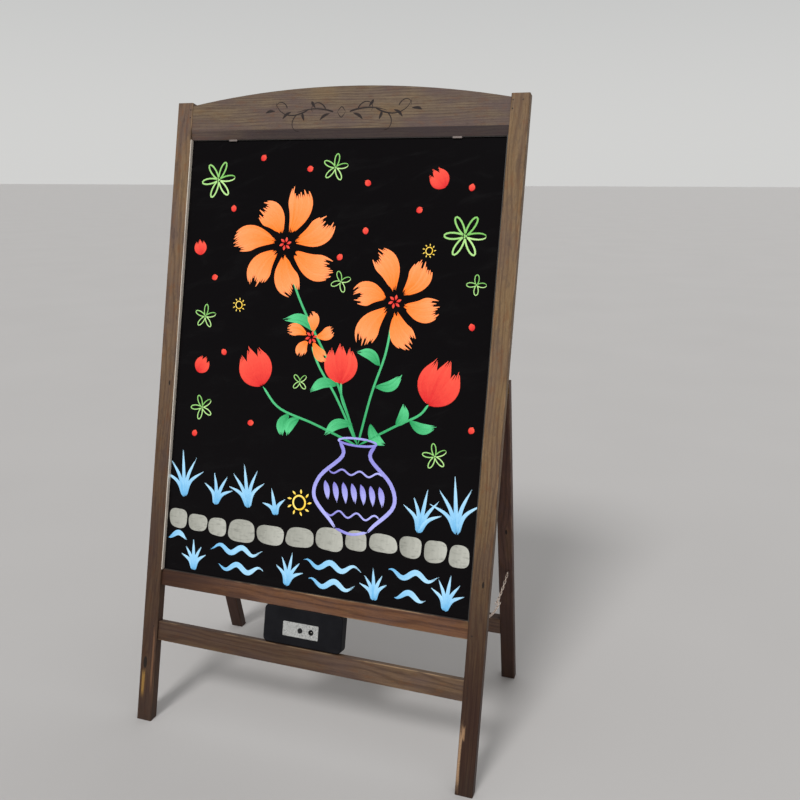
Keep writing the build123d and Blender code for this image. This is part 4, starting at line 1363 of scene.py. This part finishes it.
@dataclass
class Trim:
    """Burnt scroll on the header and dark pins in the stiles.

    Each curl of the scroll has its start across and up from the scroll's height, its first heading
    in degrees, its bend and the growth of the bend, its length and its width. Each leaf has its
    root and its tip. The pins' places are across and up.
    """

    header_face: float = 2.0
    scroll_height: float = 1134.0
    curls: tuple[tuple[float, ...], ...] = (
        (14, 0, 20, -0.55, 0.0, 70, 3.8), (62, 6, -30, 0.5, 0.012, 78, 3.4),
        (30, 5, 64, -1.9, -0.06, 44, 2.8), (84, -2, -40, -1.7, -0.05, 40, 2.6),
        (104, 8, 70, -2.1, -0.09, 36, 2.4))
    leaves: tuple[tuple[Pair, Pair], ...] = (
        ((22, -2), (40, -13)), ((50, 8), (58, 20)), ((74, 0), (70, -14)), ((96, 2), (112, -10)),
        ((128, 4), (146, 1)))
    leaf_width: float = 5.8
    line_height: float = 0.05
    thinnest: float = 0.35
    pin_places: tuple[Pair, ...] = (
        (299.7, 1146.0), (299.7, 1132.0), (316.0, 1146.0), (-299.7, 1144.0), (-299.7, 1130.0),
        *((side * 304.0, v) for side in (-1, 1) for v in (268.0, 164.0, 181.0)))
    pin_radii: Triple = (1.3, 1.05, 0.6)
    pin_rise: float = 0.25
    pin_steel: Metal = Metal("dark_pins", tint(46, 38, 32), 0.5, 0.6)

    def curl(self, across: float, up: float, heading: float, bend: float, growth: float,
             length: float, count: int = 60) -> np.ndarray:
        """Line that turns faster and faster: its heading has a first and a second power of the run.

        Args:
            across, up: where it starts.
            heading: its first heading, in degrees.
            bend: how fast it turns at first, in degrees a millimetre.
            growth: how much faster it turns with each millimetre.
            length: its length.
            count: how many points it gets.

        Returns:
            The line's points.
        """
        run = np.linspace(0, length, count)
        angle = np.radians(heading + bend * run + growth * run * run)
        steps = np.stack([np.cumsum(np.cos(angle)), np.cumsum(np.sin(angle))], -1)
        return np.array((across, up)) + steps * (run[1] - run[0])

    def scroll(self) -> None:
        """Curls and leaves, the same on both sides of a small lozenge."""
        level = self.scroll_height
        lines: list[tuple[np.ndarray, float, Taper]] = []
        for side in (-1, 1):
            mirror = np.array((side, 1.0))
            for across, up, heading, bend, growth, length, width in self.curls:
                line = self.curl(across, level + up, heading, bend, growth, length)
                lines.append((line * mirror, width, Taper.TAIL))
            for root, tip in self.leaves:
                middle = ((root[0] + tip[0]) / 2 + 1.5, (root[1] + tip[1]) / 2 + 1.5)
                line = through([(u, level + v) for u, v in (root, middle, tip)], 14)
                lines.append((line * mirror, self.leaf_width, Taper.LEAF))
        for lift in (-9, 9):
            line = through([(-8, level), (0, level + lift), (8, level)], 14)
            lines.append((line, 2.0, Taper.LEAF))
        shell = Shell()
        for line, width, taper in lines:
            share = np.linspace(0, 1, len(line))
            widths = np.maximum(taper.widths(share) * width, self.thinnest)
            shell.add(*ribbon(line, widths, self.line_height, self.header_face, share))
        shell.piece("header_scroll", FRONT_BODY, BurntLine(), "front_wood")

    def pins(self) -> None:
        """Pin heads beside the header and the rails: low domes, a cosine of the radius."""
        shell = Shell()
        radii = np.array(self.pin_radii)
        angle = np.linspace(0, 2 * np.pi, 12, endpoint=False)
        x, z = np.outer(radii, np.cos(angle)), np.outer(radii, np.sin(angle))
        dome = ROOTED - self.pin_rise * np.cos(radii * np.pi / (2 * self.pin_radii[0]))
        depth = np.broadcast_to(dome[:, None], x.shape)
        for u, v in self.pin_places:
            points = np.stack([u + x, depth, v + z], -1).reshape(-1, 3)
            shell.add(points, tube(*x.shape))
        shell.piece("stile_pins", FRONT_BODY, self.pin_steel, "steel")

    def build(self) -> None:
        """Make the scroll and the pins."""
        self.scroll()
        self.pins()


@dataclass(frozen=True)
class EdgeLighting(Dressed):
    """Aluminium channel round the panel, with clips, light strips and leads."""

    finishes: tuple[tuple[Finish, tuple[str, ...]], ...] = (
        # The left channel's near-white colour is painted light: a lit copy of the aluminium.
        (ChannelMetal("channel_left_painted_light", tint(252, 240, 226), (1.6, 1.6, 0.01), (-2.0, -1.0)),
         ("left_led_channel",)),
        (ChannelMetal("channel_right", tint(206, 196, 184), (1.6, 1.6, 0.01), (0.9, 1.7)),
         ("right_led_channel",)),
        # The level channels are a shaded copy: a darker colour and painted shade over the whole
        # front lip.
        (ChannelMetal("channel_level_painted_shade", tint(120, 112, 106), (0.01, 1.6, 1.6), (8.3, 9.6)),
         ("top_channel", "bottom_channel")),
        (Metal("clip_dull", tint(128, 116, 112), 0.5, 0.3, (0.3, 1.0, 1.0), FRONT,
               stain_share=0.2), ("top_clips",)),
        (Plastic("strip_white", tint(226, 226, 220), 0.5, 0.02), both("led_strip")),
        (Plastic("chip_lens", tint(244, 236, 190), 0.35, 0.01, glow=0.8), both("led_chips")),
        (Plastic("lead_sleeve", tint(26, 26, 27), 0.5, 0.02), both("led_lead")),
    )


@dataclass(frozen=True)
class WritingSurface(Dressed):
    """Panel, the film behind it and the rear cover."""

    finishes: tuple[tuple[Finish, tuple[str, ...]], ...] = (
        (BlackAcrylic("panel_face"), ("writing_panel",)),
        (BlackAcrylic("backing_film", 0.6, 0.3), ("black_backing",)),
        (Hardboard(), ("rear_cover",)),
    )


@dataclass(frozen=True)
class ControlBox(Dressed):
    """Black box under the panel with its plate, button and socket, and what it holds."""

    finishes: tuple[tuple[Finish, tuple[str, ...]], ...] = (
        (Plastic("box_black", tint(10, 10, 15), 0.55, 0.06, 0.35, 0.35, gloss=0.14),
         ("box_front_shell", "box_rear_cover")),
        (SpeckledPlate(), ("face_plate",)),
        (Plastic("button_black", tint(17, 17, 19), 0.34, 0.01, gloss=0.3), ("power_button",)),
        (Plastic("socket_black", tint(19, 19, 21), 0.4, 0.02, gloss=0.3),
         ("charging_socket", "power_switch", "switch_plunger")),
        (Metal("pin_bright", tint(214, 212, 204), 0.2, 1.0, (1.0, 0.05, 1.0)), ("socket_pin",)),
        (Plastic("board_green", tint(34, 96, 56), 0.35, 0.03, 0.8), ("control_board",)),
        (Plastic("cell_blue", tint(70, 104, 150), 0.35, 0.02), ("battery_cells",)),
        (Plastic("foam_dark", tint(52, 52, 52), 0.9, 0.3, 0.8), ("cell_tape",)),
        (Metal("small_steel", tint(184, 180, 172), 0.34, 1.0, (0.9, 0.9, 0.9)),
         ("mount_screws", "cell_tabs")),
    )


@dataclass(frozen=True)
class Hardware(Dressed):
    """Hinges, screw eyes and chains between the two frames."""

    finishes: tuple[tuple[Finish, tuple[str, ...]], ...] = (
        (Metal("brass_plate", tint(176, 140, 84), 0.36, 1.0, (0.05, 1.4, 1.4), stain_share=0.4),
         both("hinge_front_leaf") + both("hinge_rear_leaf")),
        (Metal("pin_steel", tint(180, 176, 168), 0.32, 1.0, (0.02, 1.5, 1.5)), ("hinge_pins",)),
        (Metal("chain_nickel", tint(230, 212, 198), 0.28, 0.85, (0.8, 0.8, 0.8),
               stain=(0.16, 0.11, 0.085), stain_share=0.3),
         both("front_chain_eye") + both("rear_chain_eye")
         + both("chain_front_half") + both("chain_rear_half")),
    )


@dataclass(frozen=True)
class CrossScrew:
    """Screw with a cross recess, in millimetres.

    A pan head stands on its seat, and a sunk one is flush with it. The crown's fall and the
    recess's depth are shares of the head's height, and the bars' sizes of its radius.
    """

    head_radius: float
    head_height: float
    shank_radius: float
    length: float
    sunk: bool = False
    tip: float = 2.0
    fall: float = 0.42
    recess: float = 0.6
    bar_half: float = 0.17
    bar_reach: float = 0.62
    rings: int = 12
    spokes: int = 48

    def profile(self) -> np.ndarray:
        """Radius and height of each ring, from the crown to the tip.

        A pan head's crown falls with the square of the radius and its rim drops to the seat. A sunk
        head is flat and narrows as a cone.

        Returns:
            Rows of radius and height above the seat.
        """
        share = np.linspace(0.06, 1.0, self.rings)
        top = np.zeros(self.rings) if self.sunk else self.head_height * (1 - self.fall * share ** 2)
        crown = np.stack([self.head_radius * share, top], -1)
        neck = [(self.shank_radius, -self.head_height)]
        if not self.sunk:
            neck = [(self.head_radius * 0.97, 0.0), (self.shank_radius, 0.0)]
        shank = [(self.shank_radius * 0.9, self.tip - self.length),
                 (self.shank_radius * 0.15, -self.length)]
        return np.concatenate([crown, neck, shank])

    def bar(self, x: np.ndarray, y: np.ndarray) -> np.ndarray:
        """Depth share of one bar of the recess: full inside, falling over its sides and its ends.

        Args:
            x: distance from the bar's middle line.
            y: distance along it.

        Returns:
            The share at each point.
        """
        half, reach = self.bar_half * self.head_radius, self.bar_reach * self.head_radius
        sides = np.clip((1.35 * half - abs(x)) / (0.5 * half), 0, 1)
        return sides * np.clip((reach - abs(y)) / (0.35 * reach), 0, 1)

    def surface(self, seat: np.ndarray, out: np.ndarray,
                turn: float) -> tuple[np.ndarray, list[list[int]]]:
        """The profile turned round the axis, sunk in the crown by the deeper of two crossed bars.

        Args:
            seat: point on the axis in the plane of the seat.
            out: unit vector out of the head, along one of the three axes.
            turn: how far the recess is turned.

        Returns:
            Points and faces of the closed screw.
        """
        profile = self.profile()
        angle = np.linspace(0, 2 * np.pi, self.spokes, endpoint=False)
        x, y = (np.outer(profile[:, 0], wave) for wave in (np.cos(angle), np.sin(angle)))
        depth = np.maximum(self.bar(x, y), self.bar(y, x)) * self.recess * self.head_height
        depth[self.rings:] = 0.0
        first = np.roll(out, 1) * math.cos(turn) + np.roll(out, 2) * math.sin(turn)
        second = np.cross(out, first)
        points = (seat + x[..., None] * first + y[..., None] * second
                  + (profile[:, 1:] - depth)[..., None] * out)
        return points.reshape(-1, 3), tube(*x.shape)


@dataclass
class Fixings:
    """Cross-head screws of the cover, the box and the hinge leaves."""

    steel: Metal = Metal("zinc_screws", tint(188, 182, 170), 0.34, 0.95, (0.9, 0.9, 0.9),
                         stain_share=0.35)
    wood: CrossScrew = CrossScrew(2.8, 1.6, 1.5, 10.0)
    box: CrossScrew = CrossScrew(2.1, 1.3, 1.1, 9.0)
    board: CrossScrew = CrossScrew(2.1, 1.3, 1.1, 7.0)
    leaf: CrossScrew = CrossScrew(2.3, 1.2, 1.2, 9.0, sunk=True)
    cover_lines: tuple[float, ...] = (-240.0, -80.0, 80.0, 240.0)
    cover_rows: Pair = (277.7, 1102.3)
    cover_back: float = 17.5
    box_middle: Pair = (-3.5, 225.35)
    box_spread: Pair = (71.0, 29.05)
    box_back: float = 27.0
    post_middle: Pair = (-6.5, 209.5)
    post_spread: float = 26.0
    board_back: float = 16.6
    leaf_middle: float = 315.0
    leaf_across: float = 5.94
    leaf_drops: Pair = (9.9, 14.9)
    front_leaf_face: float = 19.2
    rear_leaf_face: float = 1.3
    hinge_height: float = 688.0
    turn: float = 0.7

    def set_of(self, node: str, body: str, place: Place, out: float,
               screws: Sequence[tuple[CrossScrew, Triple]]) -> None:
        """Make one set of screws that all look one way.

        Args:
            node: the CAD node that the set stands for.
            body: the body that it rides on.
            place: the group's coordinates.
            out: 1 if the heads look back and -1 if they look ahead.
            screws: each screw's size and the seat of its head.
        """
        shell = Shell()
        for index, (kind, seat) in enumerate(screws):
            way = np.array([0.0, out, 0.0])
            shell.add(*kind.surface(np.array(seat), way, self.turn * index))
        name = node.replace("screws", "cross_screws")
        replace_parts(shell.piece(name, body, self.steel, "steel", place, False), node)

    def leaf_screws(self, face: float, axis: float) -> list[tuple[CrossScrew, Triple]]:
        """Screws of both hinges' leaves: two in each, the outer one higher.

        Args:
            face: depth of the leaf's open face.
            axis: height of the hinge's axis.

        Returns:
            Each screw's size and seat.
        """
        return [(self.leaf, (side * (self.leaf_middle + way * self.leaf_across), face, axis - drop))
                for side in (-1, 1) for way, drop in zip((1, -1), self.leaf_drops)]

    def build(self) -> None:
        """Make the sets."""
        cover = [(self.wood, (u, self.cover_back, v))
                 for v in self.cover_rows for u in self.cover_lines]
        (box_u, box_v), (wide, high) = self.box_middle, self.box_spread
        box = [(self.box, (box_u + i * wide, self.box_back, box_v + k * high))
               for i in (-1, 1) for k in (-1, 1)]
        post_u, post_v = self.post_middle
        board = [(self.board, (post_u + i * self.post_spread, self.board_back, post_v))
                 for i in (-1, 1)]
        front_leaf = self.leaf_screws(self.front_leaf_face, self.hinge_height)
        rear_leaf = self.leaf_screws(self.rear_leaf_face, 0.0)
        self.set_of("cover_screws", FRONT_BODY, FRONT, 1.0, cover)
        self.set_of("box_screws", FRONT_BODY, FRONT, 1.0, box + board)
        self.set_of("front_leaf_screws", FRONT_BODY, FRONT, 1.0, front_leaf)
        self.set_of("rear_leaf_screws", REAR_BODY, REAR, -1.0, rear_leaf)


@dataclass
class Studio:
    """Camera at the photograph's view, pale floor and soft light.

    Each sun has its name, strength, width in radians, and height and turn in degrees.
    """

    camera_place: Triple = (0.5802, -1.30595, 0.9938)
    yaw: float = 0.327
    pitch: float = 0.266
    focal_pixels: float = 824.467
    frame_pixels: float = 800.0
    sensor: float = 36.0
    suns: tuple[tuple[str, float, float, float, float], ...] = (
        ("key", 1.62, 0.26, 50.0, -9.5), ("side", 0.30, 1.2, 35.0, 75.0),
        ("back", 0.45, 1.2, 38.0, 160.0))
    low_sky: Colour = (0.64, 0.64, 0.63)
    high_sky: Colour = (0.40, 0.41, 0.415)
    sky_rise: Pair = (0.02, 0.5)
    floor_half: float = 80.0
    floor_tints: tuple[Colour, Colour] = (tint(186, 183, 181), tint(192, 189, 187))
    floor_mottle: Triple = (0.0016, 0.0016, 1.0)

    def place(self, name: str, held: Any) -> bpy.types.Object:
        """Put a camera, a light or a mesh into the scene.

        Args:
            name: the new object's name.
            held: its data.

        Returns:
            The new object.
        """
        made = bpy.data.objects.new(name, held)
        bpy.context.scene.collection.objects.link(made)
        return made

    def camera(self) -> None:
        """Put the camera where the photograph was taken from."""
        held = bpy.data.cameras.new("photo_camera")
        held.sensor_width = self.sensor
        held.lens = self.focal_pixels / self.frame_pixels * self.sensor
        made = self.place("photo_camera", held)
        made.location = self.camera_place
        made.rotation_euler = (math.pi / 2 - self.pitch, 0.0, self.yaw)
        bpy.context.scene.camera = made

    def floor(self) -> None:
        """Flat pale floor with a faint mottle."""
        half = self.floor_half
        mesh = bpy.data.meshes.new("floor")
        corners = [(-half, -half, 0), (half, -half, 0), (half, half, 0), (-half, half, 0)]
        mesh.from_pydata(corners, [], [(0, 1, 2, 3)])
        r = Recipe("pale_floor")
        colour = r.mix(r.noise(r.here(), self.floor_mottle), *self.floor_tints)
        mesh.materials.append(r.done(Base_Color=colour, Roughness=0.75, Specular_IOR_Level=0.2))
        self.place("floor", mesh)

    def light(self) -> None:
        """Soft suns: a key from the front left and weak ones from the right and from behind."""
        for name, strength, width, height, turn in self.suns:
            held = bpy.data.lights.new(name, "SUN")
            held.energy = strength
            held.angle = width
            made = self.place(name, held)
            made.rotation_euler = (math.radians(90.0 - height), 0.0, math.radians(turn))

    def sky(self) -> None:
        """Even sky that is brighter near the horizon, by the height of each direction in it."""
        world = bpy.data.worlds.new("studio_sky")
        world.use_nodes = True
        sums = Sums(world.node_tree)
        _, _, rise = sums.parts(sums.node("TexCoord", {}, {}, "Generated"))
        colour = sums.mix(rise.step(*self.sky_rise), self.low_sky, self.high_sky)
        sums.plug(colour, world.node_tree.nodes["Background"].inputs["Color"])
        bpy.context.scene.world = world

    def build(self) -> None:
        """Set up the camera, the floor, the lights and the sky."""
        self.camera()
        self.floor()
        self.light()
        self.sky()
        bpy.context.scene.view_settings.view_transform = "Standard"


def main() -> None:
    """Build the studio and the board, sub-assembly by sub-assembly."""
    logging.basicConfig(level=logging.INFO, format="%(name)s: %(message)s")
    for part in (Studio(), Boards(), Trim(), EdgeLighting(), WritingSurface(), MarkerPicture(),
                 ControlBox(), Hardware(), Fixings()):
        log.info("building %s", type(part).__name__)
        part.build()


if __name__ == "__main__":
    main()
